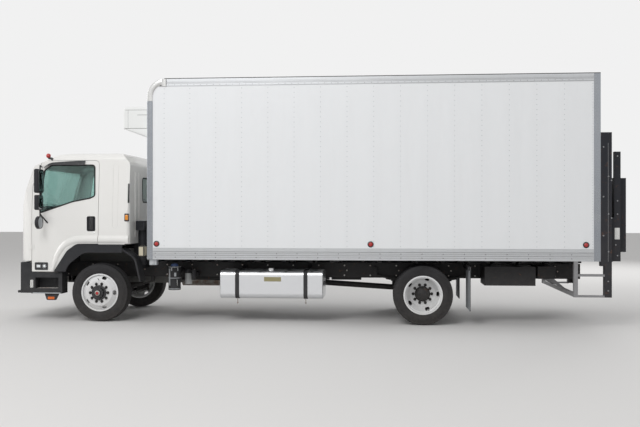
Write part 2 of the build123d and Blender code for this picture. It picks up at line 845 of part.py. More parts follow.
def step_boxes():
    """Two entry steps on each side, hung from the frame, with a strip along each edge."""
    box = block(-1120, -620, 905, cab_half_width, 452, 775)
    box -= block(-1060, -680, 960, cab_half_width + 1, 520, 690)
    box += block(-1120, -620, 905, cab_half_width + 8, 436, 452)
    for groove in range(5):
        y = 985 + 28 * groove
        box -= block(-1040, -700, y, y + 8, 514, 521)
        box -= block(-1090, -650, y, y + 8, 769, 776)
    arm = block(-900, -840, frame_half_width, 910, 690, 760)
    hanger = outline([
        (step_lamp_x - 110, 440, 0),
        (step_lamp_x + 129, 440, 0),
        (step_lamp_x + 75, 330, 12),
        (step_lamp_x - 75, 330, 12),
    ])
    return pair_apart(box + arm + side_prism(hanger, 1085, step_lamp_y))


def mudguards():
    """Quarter guards behind the front wheels and flaps behind the rear ones."""
    guard_face = outline([
        (372, 1155, 0),
        (372, 1130, 0),
        (560, 1000, 140),
        (650, 640, 0),
        (672, 640, 0),
        (588, 1015, 165),
    ])
    guard = side_prism(guard_face, 900, body_half_width - 115)
    guard += block(540, 600, frame_half_width, 905, 820, 870)
    return [guard, left_of(guard)]


def mudflaps():
    flap_x = wheelbase + 700
    out = body_half_width - 55
    flap = block(flap_x, flap_x + 10, out - 600, out, 228, body_bottom - 90)
    flap += block(flap_x - 30, flap_x, frame_half_width, out, body_bottom - 150, body_bottom - 90)
    return [flap, left_of(flap)]


# Cab
door_hinge_heights = (1150.0, 1560.0)
grille_rows = 5
grille_bottom = 1150.0
grille_pitch = 62.0
grille_slot = 36.0
grille_half_width = 520.0
grille_back = -1298.0
ball_lamp_radius = 38.0
ball_stalk_radius = 14.0
tail_lamp_width = 78.0
tail_lamp_pitch = 90.0


def cab_form(inset):
    """Solid form of the cab drawn in by a distance: three outlines crossed with one another."""
    side_rows = [
        (cab_front, cab_bottom_front, 0),
        (cab_front - 18, 1480, 900),
        (cab_front, 1804, 120),
        (-1105, cab_roof_height - 220, 90),
        (-960, cab_roof_height - 160, 120),
        (-690, cab_roof_height - 35, 200),
        (-200, cab_roof_height, 2600),
        (cab_back - 150, cab_roof_height - 14, 110),
        (cab_back, cab_roof_height - 180, 110),
        (cab_back, door_bottom - 80, 0),
        (door_front - 6, door_bottom - 80, 0),
        (door_front - 6, cab_bottom_front, 0),
    ]
    wide = cab_half_width + 2
    plan_rows = [
        (cab_front - 30, -wide, cab_corner),
        (cab_back, -wide, 60),
        (cab_back, wide, 60),
        (cab_front - 30, wide, cab_corner),
    ]
    eaves = cab_half_width - 68
    front_rows = [
        (-cab_half_width, 600, 0),
        (cab_half_width, 600, 0),
        (cab_half_width, 1680, 900),
        (eaves, cab_roof_height - 22, 120),
        (0, cab_roof_height + 10, 5000),
        (-eaves, cab_roof_height - 22, 120),
        (-cab_half_width, 1680, 900),
    ]
    form = side_prism(outline(side_rows, inset), -cab_half_width - 50, cab_half_width + 50)
    form &= plan_prism(outline(plan_rows, inset), 500, cab_roof_height + 100)
    form &= front_prism(outline(front_rows, inset), cab_front - 200, cab_back + 50)
    return form


fender_top = 1221.0


def fender_line(inset=0.0):
    """Space under the outer edge of the wheel arch, open downwards and backwards."""
    rows = [
        (-732, 600, 0),
        (-732, 798, 60),
        (-520, 1120, 150),
        (-380, fender_top, 160),
        (cab_back + 200, fender_top, 0),
        (cab_back + 200, 600, 0),
    ]
    return outline(rows, inset)


def door_outline(grow):
    """Side view of a door opening; grow widens it all round."""
    return outline([
        (door_front - grow, door_bottom - 200, 0),
        (door_rear + grow, door_bottom - 200, 0),
        (door_rear + grow, door_top + grow, 60 + grow),
        (-960 - grow, door_top + grow, 60 + grow),
        (door_front - grow, 2140 + grow, 160),
    ])


def window_outline():
    """Side view of a door window; its lower edge falls towards the front."""
    return outline([
        (-985, 1722, 22),
        (-458, 1900, 200),
        (-170, 1956, 60),
        (-96, 1992, 40),
        (-106, door_top - 72, 45),
        (-815, door_top - 72, 90),
        (-925, door_top - 151, 60),
        (-978, 2085, 60),
    ])


def windscreen_outline():
    """Front view of the windscreen opening."""
    return outline([
        (-1000, 1835, 70),
        (1000, 1835, 70),
        (955, cab_roof_height - 250, 80),
        (-955, cab_roof_height - 250, 80),
    ])


def cab_nodes():
    outer = cab_form(0)
    inner = cab_form(cab_wall)
    shell = outer - inner
    arch = side_prism(fender_line(), -cab_half_width - 80, cab_half_width + 80)
    under_rear = block(door_rear + door_gap, cab_back + 10, -1200, 1200, 500, cab_bottom_rear)
    shell = shell - arch - under_rear
    shell -= block(door_front - 10, cab_back + 10, -1200, 1200, 500, door_bottom)
    toe_half = cab_half_width - cab_wall
    shell -= block(door_front - 10, cab_back + 10, -toe_half, toe_half, 500, cab_bottom_front)
    windows = side_prism(window_outline(), -1300, 1300)
    door_hole = side_prism(door_outline(0), 900, 1300)
    door_room = side_prism(door_outline(door_gap), 900, 1300)
    windscreen_hole = front_prism(windscreen_outline(), cab_front - 100, -900)
    lip = wheel_lip() & outer_side(outer)
    barrels, pins = door_hinges()
    right_door = (shell & door_hole) - windows + (lip & door_hole)
    right_door -= block(door_front - 20, door_rear + 20, 0, cab_half_width - 200, 0, 3000)
    right_door -= block(door_front - 20, door_rear + 20, 0, toe_half, 0, 1500)
    right_door -= side_prism(fender_line(-10), 900, 1300)
    right_door = door_recess(right_door) + barrels
    walls = shell - door_room - mirror(door_room, about=Plane.XZ)
    back_plane = cab_back - cab_wall
    roof_plane = door_top + door_gap
    front_plane = door_front - door_gap
    beside = cab_half_width + 170
    above = cab_roof_height + 1310
    back = walls & block(back_plane, cab_back + 10, -beside, beside, 0, above)
    high = cab_roof_height - 390
    low = high - 400
    back_outline = outline([(-420, low, 60), (420, low, 60), (420, high, 60), (-420, high, 60)])
    back_window = front_prism(back_outline, back_plane - 5, cab_back + 5)
    roof = walls & block(cab_front - 100, back_plane, -beside, beside, roof_plane, above)
    header_half = cab_half_width - 120
    front_room = block(cab_front - 100, front_plane, -beside, beside, 0, roof_plane)
    front_room += block(front_plane, -700, -header_half, header_half, cab_bottom_front, roof_plane)
    front = (walls & front_room) - windscreen_hole + tilt_ears() + both_sides(pins)
    for row in range(grille_rows):
        low = grille_bottom + row * grille_pitch
        high = low + grille_slot
        front -= both_sides(block(cab_front - 60, grille_back, 22, grille_half_width, low, high))
    for low in door_hinge_heights:
        high = low + door_hinge_height
        notch = upright_rod(door_hinge_x, door_hinge_y, low - 1, high + 1, door_barrel + 1.5)
        front -= both_sides(notch)
    sides = walls & both_sides(block(front_plane, back_plane, header_half, beside, 0, roof_plane))
    sides += both_sides((lip - door_room) & block(door_rear, cab_back - 70, 900, beside, 0, roof_plane))
    rib = side_prism(rib_outline(0), 900, beside) - side_prism(rib_outline(14), 900, beside)
    sides -= both_sides((outer - cab_form(4)) & rib)
    for start in (540.0, 740.0):
        low = cab_bottom_rear + 102
        high = cab_roof_height - 310
        back += both_sides(block(cab_back - 4, cab_back + 8, start, start + 90, low, high))
    glass = cab_form(glass_inset) - cab_form(glass_inset + glass_wall)
    screen = glass & windscreen_hole
    right_glass = glass & side_prism(window_outline(), 900, 1300)
    rear_glass = glass & back_window
    board = dashboard(inner)
    return {
        "cab_roof": roof,
        "cab_front": front,
        "cab_sides": sides,
        "cab_back": back - back_window,
        "cab_floor": cab_floor(inner),
        "cab_glass": Compound(children=[screen, rear_glass]),
        "door_right": right_door,
        "door_left": left_of(right_door),
        "door_glass_right": right_glass,
        "door_glass_left": left_of(right_glass),
        "dashboard": board,
        "steering_wheel": steering_wheel() - board,
        "cab_lamps": cab_lamps(outer),
        "mirror_right": mirror_set() - outer,
        "mirror_left": left_of(mirror_set() - outer),
    }


def outer_side(outer):
    """Right half of the space beside the cab's skin and a little way into it."""
    room = block(cab_front, cab_back, cab_half_width - 5, cab_half_width + lip_height, door_bottom, 1600)
    return room & (outer + block(-1100, cab_back - 70, cab_half_width - 5, cab_half_width + 50, 500, 1600))


def wheel_lip():
    """Raised edge that follows the wheel arch along the door and the cab's side."""
    band = side_prism(fender_line(-lip_width), cab_half_width - 5, cab_half_width + lip_height)
    return band - side_prism(fender_line(), cab_half_width - 6, cab_half_width + lip_height + 1)


def door_recess(door):
    """Sunk handle plate on the right door, with its paddle standing in it."""
    sunk = outline([(-213, 1433, 26), (-83, 1433, 26), (-83, 1662, 26), (-213, 1662, 26)])
    door -= side_prism(sunk, cab_half_width - 14, cab_half_width + 5)
    paddle = outline([(-178, 1450, 14), (-118, 1450, 14), (-118, 1645, 14), (-178, 1645, 14)])
    return door + side_prism(paddle, cab_half_width - 16, cab_half_width - 3)


def door_hinges():
    """Barrels of the right door, and the pillar's pins that they turn on."""
    barrels = None
    pins = None
    skin = cab_half_width - 3
    for low in door_hinge_heights:
        high = low + door_hinge_height
        barrel = upright_rod(door_hinge_x, door_hinge_y, low, high, door_barrel)
        barrel += block(door_hinge_x, door_hinge_x + 38, skin, door_hinge_y, low, high)
        barrel -= upright_rod(door_hinge_x, door_hinge_y, low - 1, high + 1, door_pin + hinge_gap)
        pin = upright_rod(door_hinge_x, door_hinge_y, low - 12, high + 12, door_pin)
        for start in (low - 14, high + 4):
            pin += upright_rod(door_hinge_x, door_hinge_y, start, start + 10, door_lug)
            outer_y = door_hinge_y + door_lug
            pin += block(door_hinge_x - 34, door_hinge_x - 4, skin, outer_y, start, start + 10)
            pin += block(door_hinge_x - 6, door_hinge_x, door_hinge_y - 4, outer_y, start, start + 10)
        barrels = barrel if barrels is None else barrels + barrel
        pins = pin if pins is None else pins + pin
    return barrels, pins


def rib_outline(inset):
    """Upright pressed rib with a rounded foot on the cab's rear quarter."""
    return outline(
        [(200, 1473, 46), (297, 1473, 46), (297, door_top - 60, 30), (200, door_top - 60, 30)], inset
    )


def cab_lamps(outer):
    """Marker lamps on the rear corners and a ball lamp on a stalk over the left door."""
    corner = block(404, 462, cab_half_width - 60, cab_half_width + 14, 1595, 1700)
    corner = fillet(corner.edges(), 8) - outer
    centre = (-877, -1050, cab_roof_height - 55)
    ball = Pos(*centre) * Rot(0, 0, 90) * Sphere(ball_lamp_radius)
    stalk = rod(centre, (-800, -1050, cab_roof_height - 113), ball_stalk_radius) - outer
    return Compound(children=[corner, left_of(corner), ball + stalk])


def cab_floor(inner):
    """Floor over the engine and wheels, with a foot well ahead of the wheel arches."""
    low = cab_bottom_front - 4
    step = -735.0
    inside = cab_half_width - cab_wall - door_gap
    under = cab_floor_height - floor_wall
    floor = block(step, cab_back - cab_wall, -inside, inside, under, cab_floor_height)
    floor += block(cab_front, step, -inside, inside, low, low + floor_wall)
    floor += block(step - floor_wall, step, -inside, inside, low, cab_floor_height)
    return floor & inner


def tilt_ears():
    """Ears under the cab's front that turn on the pins of the frame's brackets."""
    ear = block(tilt_x - 15, tilt_x + 15, tilt_ear_in, tilt_ear_in + 35, tilt_z - 16, cab_bottom_front + 4)
    ear -= rod((tilt_x, 0, tilt_z), (tilt_x, frame_half_width + 60, tilt_z), tilt_pin + hinge_gap)
    return both_sides(ear)


def dashboard(inner):
    face = outline([
        (-1400, 1460, 0),
        (-1000, 1420, 50),
        (-930, 1560, 40),
        (-960, 1740, 50),
        (-1100, 1795, 60),
        (-1400, 1795, 0),
    ])
    board = side_prism(face, -cab_half_width + 120, cab_half_width - 120)
    return board & inner


def steering_wheel():
    centre = Vector(-790, -560, 1660)
    axis = Vector(0.64, 0, 0.77)
    plane = Plane(origin=centre, z_dir=axis)
    ring = plane * Torus(225, 15)
    ring += plane * Cylinder(48, 36)
    for turn in (90, 210, 330):
        spoke = Rot(0, 0, turn) * Pos(115, 0, 0) * Box(200, 34, 14)
        ring += plane * spoke
    end = centre - axis * 340
    return ring + rod(tuple(centre), tuple(end), 26)


def seats():
    """Seats as plain closed forms on their boxes."""
    pieces = []
    low = cab_floor_height + 95
    # middle of the seat, half width
    for middle, half in ((-560, 250), (430, 470)):
        face = outline([
            (-430, low, 30),
            (40, low - 15, 30),
            (60, low + 75, 0),
            (160, low + 675, 50),
            (60, low + 695, 50),
            (-50, low + 125, 40),
            (-430, low + 135, 50),
        ])
        seat = side_prism(face, middle - half, middle + half)
        seat += block(-380, 20, middle - half + 40, middle + half - 40, cab_floor_height, low + 5)
        pieces.append(seat)
    return Compound(children=pieces)


def fender_flares():
    """Dark fender round each front wheel arch, standing out from the cab side."""
    opening = outline([
        (-612, 500, 0),
        (-612, 620, 200),
        (-500, 900, 220),
        (-250, 1092, 240),
        (372, 1092, 0),
        (372, 500, 0),
    ])
    band = side_prism(fender_line(), cab_half_width - flare_depth, flare_half_width)
    band -= side_prism(opening, cab_half_width - 200, flare_half_width + 20)
    band &= block(-760, 372, 0, 1300, door_bottom + 4, fender_top)
    thin = side_prism(fender_line(24), cab_half_width - flare_depth - 10, flare_half_width - 26)
    band -= thin
    return pair_apart(band)


def cab_mounts():
    """Tilt brackets with their pins at the front of the frame and rests at the back of the cab."""
    foot = tilt_ear_in - 33
    bracket = block(tilt_x - 8, tilt_x + 40, foot, foot + 25, frame_top, tilt_z)
    bracket += rod((tilt_x, foot, tilt_z), (tilt_x, tilt_ear_in + 45, tilt_z), tilt_pin)
    rest_top = cab_floor_height - floor_wall - door_gap
    rest = block(330, 400, frame_half_width - 50, frame_half_width, frame_top, rest_top)
    return both_sides(bracket + rest)


def mirror_set():
    """Right door mirrors: a tall head, a wide-angle head and a round one on bent tubes."""
    out = cab_half_width + 220
    top = cab_roof_height - 230
    pieces = block(-952, -872, out - 110, out + 100, top - 429, top - 53)
    pieces = fillet(pieces.edges(), 28)
    second = block(-950, -880, out - 100, out + 90, top - 695, top - 460)
    second = fillet(second.edges(), 24)
    third = rod((-940, out - 10, top - 893), (-885, out - 10, top - 893), 100)
    third = fillet(third.edges(), 14)
    stem = rod((-912, out - 60, top - 960), (-912, out - 60, top + 10), 11)
    top_arm = rod((-912, out - 60, top), (-985, cab_half_width - 70, top), 11)
    low_arm = rod((-912, out - 60, top - 760), (-860, cab_half_width - 8, top - 900), 11)
    return pieces + second + third + stem + top_arm + low_arm


# Insulated body
def body_band(depth, y0, y1):
    """Front wall and roof curve: a band of one depth that turns back along the roof."""
    face = outline([
        (body_front, body_bottom, 0),
        (body_front, body_top, front_top_radius),
        (body_front + front_top_radius, body_top, 0),
        (body_front + front_top_radius, body_top - depth, 0),
        (body_front + depth, body_top - depth, front_top_radius - depth),
        (body_front + depth, body_bottom, 0),
    ])
    return side_prism(face, y0, y1)


def cargo_nodes():
    inside = body_half_width - body_wall
    rear_inner = body_rear - rear_frame_depth
    roof_start = body_front + front_top_radius
    post = body_band(front_post_width, inside, body_half_width)
    wall_low = body_bottom + bottom_rail_height
    wall_high = body_top - top_rail_height
    wall_front = body_front + front_post_width
    side = block(wall_front, rear_inner, inside, body_half_width - skin_step, wall_low, wall_high)
    side -= side_prism(
        outline([
            (body_front, wall_high + 200, 0),
            (body_front, body_top - front_top_radius, 0),
            (wall_front, body_top - front_top_radius, 0),
            (roof_start, body_top - front_post_width, 0),
            (roof_start, wall_high + 200, 0),
        ]),
        inside - 1,
        body_half_width,
    ) - side_prism(
        outline([
            (wall_front, wall_low, 0),
            (wall_front, body_top - front_post_width, front_top_radius - front_post_width),
            (rear_inner, body_top - front_post_width, 0),
            (rear_inner, wall_low, 0),
        ]),
        inside - 2,
        body_half_width + 1,
    )
    bottom_rail = block(wall_front, rear_inner, inside, body_half_width, body_bottom, wall_low)
    deep = body_half_width - 4
    for low in (body_bottom + 62, body_bottom + 122, wall_low - 14):
        bottom_rail -= block(wall_front - 1, rear_inner + 1, deep, body_half_width + 1, low, low + 6)
    top_rail = block(roof_start, rear_inner, inside, body_half_width, wall_high, body_top)
    groove = wall_high + 70
    top_rail -= block(roof_start, rear_inner + 1, deep, body_half_width + 1, groove, groove + 6)
    wall = body_band(body_wall, -inside, inside)
    wall &= block(body_front, roof_start, -inside, inside, body_floor_height - 120, body_top)
    roof = block(roof_start, rear_inner, -inside, inside, body_top - body_wall, body_top - skin_step)
    floor_low = body_floor_height - 120
    floor = block(body_front + body_wall, rear_inner, -inside, inside, floor_low, body_floor_height)
    frame = block(rear_inner, body_rear, -body_half_width, body_half_width, body_bottom, body_top)
    opening_half = body_half_width - rear_post_width
    lintel = body_top - 190
    frame -= block(rear_inner - 1, body_rear + 1, -opening_half, opening_half, body_floor_height, lintel)
    return {
        "side_frames": pair_apart(post + top_rail + bottom_rail),
        "side_walls": pair_apart(side),
        "front_wall": wall,
        "cargo_roof": roof,
        "cargo_floor": floor,
        "rear_frame": frame,
        "roll_up_door": roll_up_door(rear_inner, opening_half, lintel),
        "floor_sills": floor_sills(inside),
    }


def roll_up_door(rear_inner, opening_half, lintel):
    """Closed rolling door of jointed panels, with its latch and pull at the bottom."""
    skin = rear_inner + 78
    door = block(rear_inner + 40, skin, -opening_half, opening_half, body_floor_height, lintel)
    panel = (lintel - body_floor_height) / door_panels
    for joint in range(1, door_panels):
        height = body_floor_height + joint * panel
        door -= block(skin - 9, skin + 1, -opening_half - 1, opening_half + 1, height - 4, height + 4)
    latch = block(skin, skin + 12, -90, 90, body_floor_height + 110, body_floor_height + 210)
    latch += block(skin, skin + 20, -24, 24, body_floor_height + 40, body_floor_height + 190)
    pulls = both_sides(block(skin, skin + 16, 300, 470, body_floor_height + 60, body_floor_height + 84))
    return door + latch + pulls


def body_lamps():
    """Side markers, tail lamps, top lamps and the lamps under the entry steps."""
    lamps = []
    marker_y = body_half_width - skin_step
    marker_z = body_bottom + 245
    for station in (body_front + 135, (body_front + body_rear) / 2 + 28, body_rear - 220):
        lamps.append(rod((station, marker_y, marker_z), (station, marker_y + 16, marker_z), 35))
    low = body_floor_height - 112
    for place in (2, 1, 0):
        end = body_half_width - column_width - 62 - place * tail_lamp_pitch
        lamps.append(block(body_rear, body_rear + 16, end - tail_lamp_width, end, low, low + 68))
    lamps.append(rod((body_rear, 150, body_top - 60), (body_rear + 14, 150, body_top - 60), 25))
    lamps.append(block(step_lamp_x - 58, step_lamp_x + 58, step_lamp_y, step_lamp_y + 18, 338, 388))
    middle = rod((body_rear, 0, body_top - 60), (body_rear + 14, 0, body_top - 60), 25)
    return Compound(children=[*lamps, *[left_of(lamp) for lamp in lamps], middle])


def floor_sills(inside):
    """Cross sills between the frame rails and the floor."""
    high = body_floor_height - 120
    face = outline([
        (-inside, high, 0),
        (-inside, tyre_radius * 2 + 45, 0),
        (-620, tyre_radius * 2 + 45, 0),
        (-470, frame_top, 0),
        (470, frame_top, 0),
        (620, tyre_radius * 2 + 45, 0),
        (inside, tyre_radius * 2 + 45, 0),
        (inside, high, 0),
    ])
    first = body_front + 80
    run = body_rear - rear_frame_depth - sill_width - first
    sills = []
    for place in range(int(run // sill_pitch) + 1):
        start = first + place * sill_pitch
        sills.append(front_prism(face, start, start + sill_width))
    return Compound(children=sills)


def refrigeration_unit():
    """Cooling unit on the front wall, with a sloped pan under it and louvres at the front."""
    front = body_front - unit_depth
    face = outline([
        (front, unit_body_bottom, 30),
        (front, unit_top - 20, 40),
        (front + 40, unit_top, 60),
        (body_front, unit_top, 0),
        (body_front, unit_pan_bottom, 0),
        (body_front - 60, unit_pan_bottom + 10, 0),
        (front + 70, unit_body_bottom - 30, 30),
    ])
    unit = side_prism(face, -unit_half_width, unit_half_width)
    ends = unit.faces().sort_by(Axis.Y)
    unit = fillet(ends[0].edges().group_by(Axis.X)[0] + ends[-1].edges().group_by(Axis.X)[0], 28)
    slot_z = unit_body_bottom + 64
    while slot_z < unit_top - 110:
        unit -= block(front - 5, front + 34, -620, 620, slot_z, slot_z + 26)
        slot_z += 44
    return unit


# Lift gate
def gate_columns():
    """Column on each side of the tail: a closed post and an open channel for the runner."""
    front = body_rear
    rear = front + column_depth
    channel = rear - channel_depth
    inner = body_half_width - column_width
    post = block(front, channel, inner, body_half_width, post_bottom, column_top)
    track = block(channel, rear, inner, body_half_width, leg_bottom, column_top)
    track -= block(
        channel + channel_wall,
        rear - channel_wall,
        inner - 1,
        body_half_width - channel_wall,
        leg_bottom - 1,
        column_top - 14,
    )
    return pair_apart(post + track)


def rear_steps():
    """Step frames beside the tail with the guard bar and its struts between them."""
    start = body_rear - 388
    end = body_rear + column_depth - channel_depth
    inner = body_half_width - 80
    frame = block(start, start + 57, inner, body_half_width, leg_bottom, body_bottom)
    # bottom and top of each rung
    for low, high in ((leg_bottom, leg_bottom + 28), (770, 802)):
        frame += block(start, end, inner, body_half_width, low, high)
    bar = block(start + 4, start + 54, -inner, inner, leg_bottom, leg_bottom + 60)
    strut_face = outline([
        (start + 4, leg_bottom + 58, 0),
        (start + 54, leg_bottom + 58, 0),
        (start - 120, frame_bottom, 0),
        (start - 230, frame_bottom, 0),
    ])
    strut = side_prism(strut_face, frame_half_width - 60, frame_half_width)
    return both_sides(frame) + bar + both_sides(strut)


def gate_carriage():
    """Runners in the columns, uprights and the lower tube that carries the platform hinge."""
    rear = body_rear + column_depth
    channel = rear - channel_depth
    runner_front = channel + channel_wall + runner_gap
    runner_rear = rear - channel_wall - runner_gap
    up_in = upright_in
    up_out = upright_out
    low = 950.0
    high = 1650.0
    runner_out = body_half_width - channel_wall - runner_gap
    side = block(runner_front, runner_rear, up_in + 30, runner_out, low, high)
    side += block(runner_rear - 10, platform_front + 10, up_in + 30, up_out, platform_bottom, high)
    upright_rear = platform_front + platform_thickness
    side += block(platform_front, upright_rear, up_in, up_out, platform_bottom, upright_top)
    tube = block(rear + 8, rear + 46, -up_in - 40, up_in + 40, platform_bottom - 8, platform_bottom + 52)
    carriage = both_sides(side) + tube
    hinge_x = platform_front + 36
    hinge_z = platform_bottom + 20
    for middle in (-600, 0, 600):
        lug = block(rear + 40, hinge_x, middle - 40, middle + 40, hinge_z - 24, hinge_z + 24)
        lug += rod((hinge_x, middle - 40, hinge_z), (hinge_x, middle + 40, hinge_z), 24)
        carriage += lug
    pins = rod((hinge_x, -up_in - 10, hinge_z), (hinge_x, up_in + 10, hinge_z), hinge_rod)
    return carriage + pins


def gate_platform():
    """Folding platform, stowed upright: deck, frame ribs and hinge barrels."""
    rear = platform_front + platform_thickness
    half = platform_half_width
    hinge_x = platform_front + 36
    hinge_z = platform_bottom + 20
    deck_low = hinge_z + 40
    deck = block(platform_front, rear, -half, half, deck_low, platform_tip)
    bay = (2 * half - 7 * 40) / 6
    for place in range(6):
        y0 = -half + 40 + place * (bay + 40)
        deck -= block(platform_front + 8, rear + 1, y0, y0 + bay, deck_low + 50, platform_tip - 60)
    for middle in (-300, 300):
        barrel = rod((hinge_x, middle - 200, hinge_z), (hinge_x, middle + 200, hinge_z), 28)
        barrel += block(hinge_x - 26, hinge_x + 26, middle - 200, middle + 200, hinge_z, deck_low + 4)
        bore = rod((hinge_x, middle - 201, hinge_z), (hinge_x, middle + 201, hinge_z), hinge_rod + hinge_gap)
        barrel -= bore
        deck += barrel
    axis_x = rear + fold_gap / 2
    axis_z = platform_tip + fold_step
    for middle in (-600, 600):
        deck += rod((axis_x, middle - 90, axis_z), (axis_x, middle + 90, axis_z), fold_barrel)
        deck += block(rear - 20, axis_x, middle - 90, middle + 90, axis_z - 30, platform_tip)
    return deck + rod((axis_x, -600, axis_z), (axis_x, 600, axis_z), fold_pin)


def gate_ramp():
    """Second section, folded down over the platform's outer side."""
    hinge_x = platform_front + platform_thickness + fold_gap / 2
    start = hinge_x + fold_gap / 2
    ramp = block(start, start + ramp_thickness, -ramp_half_width, ramp_half_width, ramp_low, platform_tip)
    bay = (2 * ramp_half_width - 7 * 40) / 6
    for place in range(6):
        y0 = -ramp_half_width + 40 + place * (bay + 40)
        rear = start + ramp_thickness - 8
        ramp -= block(start - 1, rear, y0, y0 + bay, ramp_low + 60, platform_tip - 50)
    hinge_z = platform_tip + fold_step
    for middle in (-300, 300):
        barrel = rod((hinge_x, middle - 90, hinge_z), (hinge_x, middle + 90, hinge_z), fold_barrel)
        barrel += block(hinge_x, start + 20, middle - 90, middle + 90, hinge_z - 30, platform_tip)
        bore = rod((hinge_x, middle - 91, hinge_z), (hinge_x, middle + 91, hinge_z), fold_pin + hinge_gap)
        ramp += barrel - bore
    return ramp


nodes = {
    "frame_rails": frame_rails(),
    "cross_members": cross_members(),
    "front_axle": front_axle(),
    "knuckle_right": knuckle(),
    "knuckle_left": left_of(knuckle()),
    "tie_rod": tie_rod(),
    "rear_axle": rear_axle(),
    "leaf_springs": leaf_springs(),
    "engine": engine(),
    "driveshaft": driveshaft(),
    "fuel_tank": fuel_tank(),
    "tank_straps": tank_straps(),
    "air_equipment": air_equipment(),
    "exhaust": exhaust(),
    "chassis_boxes": Compound(children=[battery_box(), gate_power_unit()]),
    "bumper": bumper(),
    "bumper_ends": bumper_ends(),
    "headlamps": headlamps(),
    "body_lamps": body_lamps(),
    "step_boxes": step_boxes(),
    "splash_guards": Compound(children=[*mudguards(), *mudflaps()]),
    "seats": seats(),
    "fender_flares": fender_flares(),
    "refrigeration_unit": refrigeration_unit(),
    "gate_columns": gate_columns(),
    "rear_steps": rear_steps(),
    "gate_carriage": gate_carriage(),
    "gate_platform": gate_platform(),
    "gate_ramp": gate_ramp(),
}
nodes.update(wheel_nodes())
nodes.update(cab_nodes())
nodes.update(cargo_nodes())

to_middle = Pos(front_overhang - length / 2, 0, 0)
os.makedirs("parts", exist_ok=True)
for name, piece in nodes.items():
    export_step(to_middle * piece, "parts/" + name + ".step")
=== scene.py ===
"""Looks of a refrigerated truck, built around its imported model: finishes, tyres and fittings."""
import json
import math

import bmesh
import bpy
import numpy as np
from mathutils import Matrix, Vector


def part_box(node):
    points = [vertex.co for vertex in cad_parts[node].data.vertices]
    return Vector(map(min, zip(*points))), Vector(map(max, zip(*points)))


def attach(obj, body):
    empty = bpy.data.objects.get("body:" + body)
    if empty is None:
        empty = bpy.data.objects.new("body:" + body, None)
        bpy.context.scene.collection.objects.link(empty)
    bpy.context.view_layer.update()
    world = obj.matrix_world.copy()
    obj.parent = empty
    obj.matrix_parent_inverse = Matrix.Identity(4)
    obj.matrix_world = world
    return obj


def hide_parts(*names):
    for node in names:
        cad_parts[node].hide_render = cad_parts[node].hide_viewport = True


bl_info = {
    "name": "Refrigerated truck looks",
    "version": (1, 0, 0),
    "blender": (4, 5, 0),
    "location": "View3D > Sidebar > Truck",
    "description": "Finishes, tyres, seals, rivets and fittings of a refrigerated truck",
    "category": "Add Mesh",
}

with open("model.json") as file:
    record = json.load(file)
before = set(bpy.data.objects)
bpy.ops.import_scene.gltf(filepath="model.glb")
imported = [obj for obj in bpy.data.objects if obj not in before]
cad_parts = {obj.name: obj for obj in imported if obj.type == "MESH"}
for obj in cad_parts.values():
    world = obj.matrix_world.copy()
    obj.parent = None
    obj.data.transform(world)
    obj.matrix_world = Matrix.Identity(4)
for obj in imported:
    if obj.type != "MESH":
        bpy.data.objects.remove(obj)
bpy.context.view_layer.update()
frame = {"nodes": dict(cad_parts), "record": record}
nodes = frame["nodes"]
slots = {part["node"]: part["material_slot"] for part in frame["record"]["subparts"]}
MM = 0.001
SHARP_ANGLE = math.radians(38)


def middle(node):
    """Middle point of a node's box, in metres."""
    low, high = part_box(node)
    return (np.array(low) + np.array(high)) / 2


FRONT_AXLE = middle("tyre_front_left")
REAR_AXLE = middle("tyres_rear_left")
SIDES = (("left", -1.0), ("right", 1.0))


def node_box(node):
    """Lowest and highest corner of a node in millimetres; stations count back from the front axle."""
    return [(np.array(corner) - (FRONT_AXLE[0], 0, 0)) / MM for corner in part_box(node)]


WALL_LOW, WALL_HIGH = node_box("side_walls")
BODY_LOW, BODY_HIGH = node_box("side_frames")
BODY_REAR = node_box("rear_frame")[1][0]


# Mesh building

def grid_faces(rows, columns, close_rows=False, close_columns=False):
    """Quads of a grid numbered row by row; a closed direction joins its last line to its first."""
    down = np.arange(rows if close_rows else rows - 1)
    along = np.arange(columns if close_columns else columns - 1)
    down, along = np.meshgrid(down, along, indexing="ij")
    below = (down + 1) % rows
    beside = (along + 1) % columns
    corners = [(down, along), (down, beside), (below, beside), (below, along)]
    return np.stack([row * columns + column for row, column in corners], -1).reshape(-1, 4)


def tube_faces(rings, around):
    """Quads between rings of points, with one face over each end."""
    last = (rings - 1) * around
    ends = [list(range(around)), list(range(last, last + around))]
    return grid_faces(rings, around, close_columns=True).tolist() + ends


def add_piece(name, points, faces, body, slot, material):
    """Points in metres and faces as one mesh that rides on a body; its closed forms face outwards."""
    mesh = bpy.data.meshes.new(name)
    mesh.from_pydata(np.asarray(points, float).reshape(-1, 3).tolist(), [], faces)
    mesh.validate()
    work = bmesh.new()
    work.from_mesh(mesh)
    bmesh.ops.recalc_face_normals(work, faces=work.faces)
    work.to_mesh(mesh)
    work.free()
    mesh.materials.append(bpy.data.materials[material])
    mesh.polygons.foreach_set("use_smooth", np.ones(len(mesh.polygons), bool))
    mesh.set_sharp_from_angle(angle=SHARP_ANGLE)
    mesh.update()
    piece = bpy.data.objects.new(name, mesh)
    bpy.context.scene.collection.objects.link(piece)
    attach(piece, body)
    return piece


def fitting(name, body, material, *parts):
    """Parts in millimetres as one piece with its material."""
    points, faces = joined(parts)
    return add_piece(name, points * MM + (FRONT_AXLE[0], 0, 0), faces, body, SLOT_OF[material], material)


def joined(parts):
    """Points and faces of several parts as one, with the face numbers moved on."""
    points = []
    faces = []
    start = 0
    for part_points, part_faces in parts:
        flat = np.asarray(part_points, float).reshape(-1, 3)
        points.append(flat)
        faces += [[start + corner for corner in face] for face in part_faces]
        start += len(flat)
    return np.concatenate(points), faces


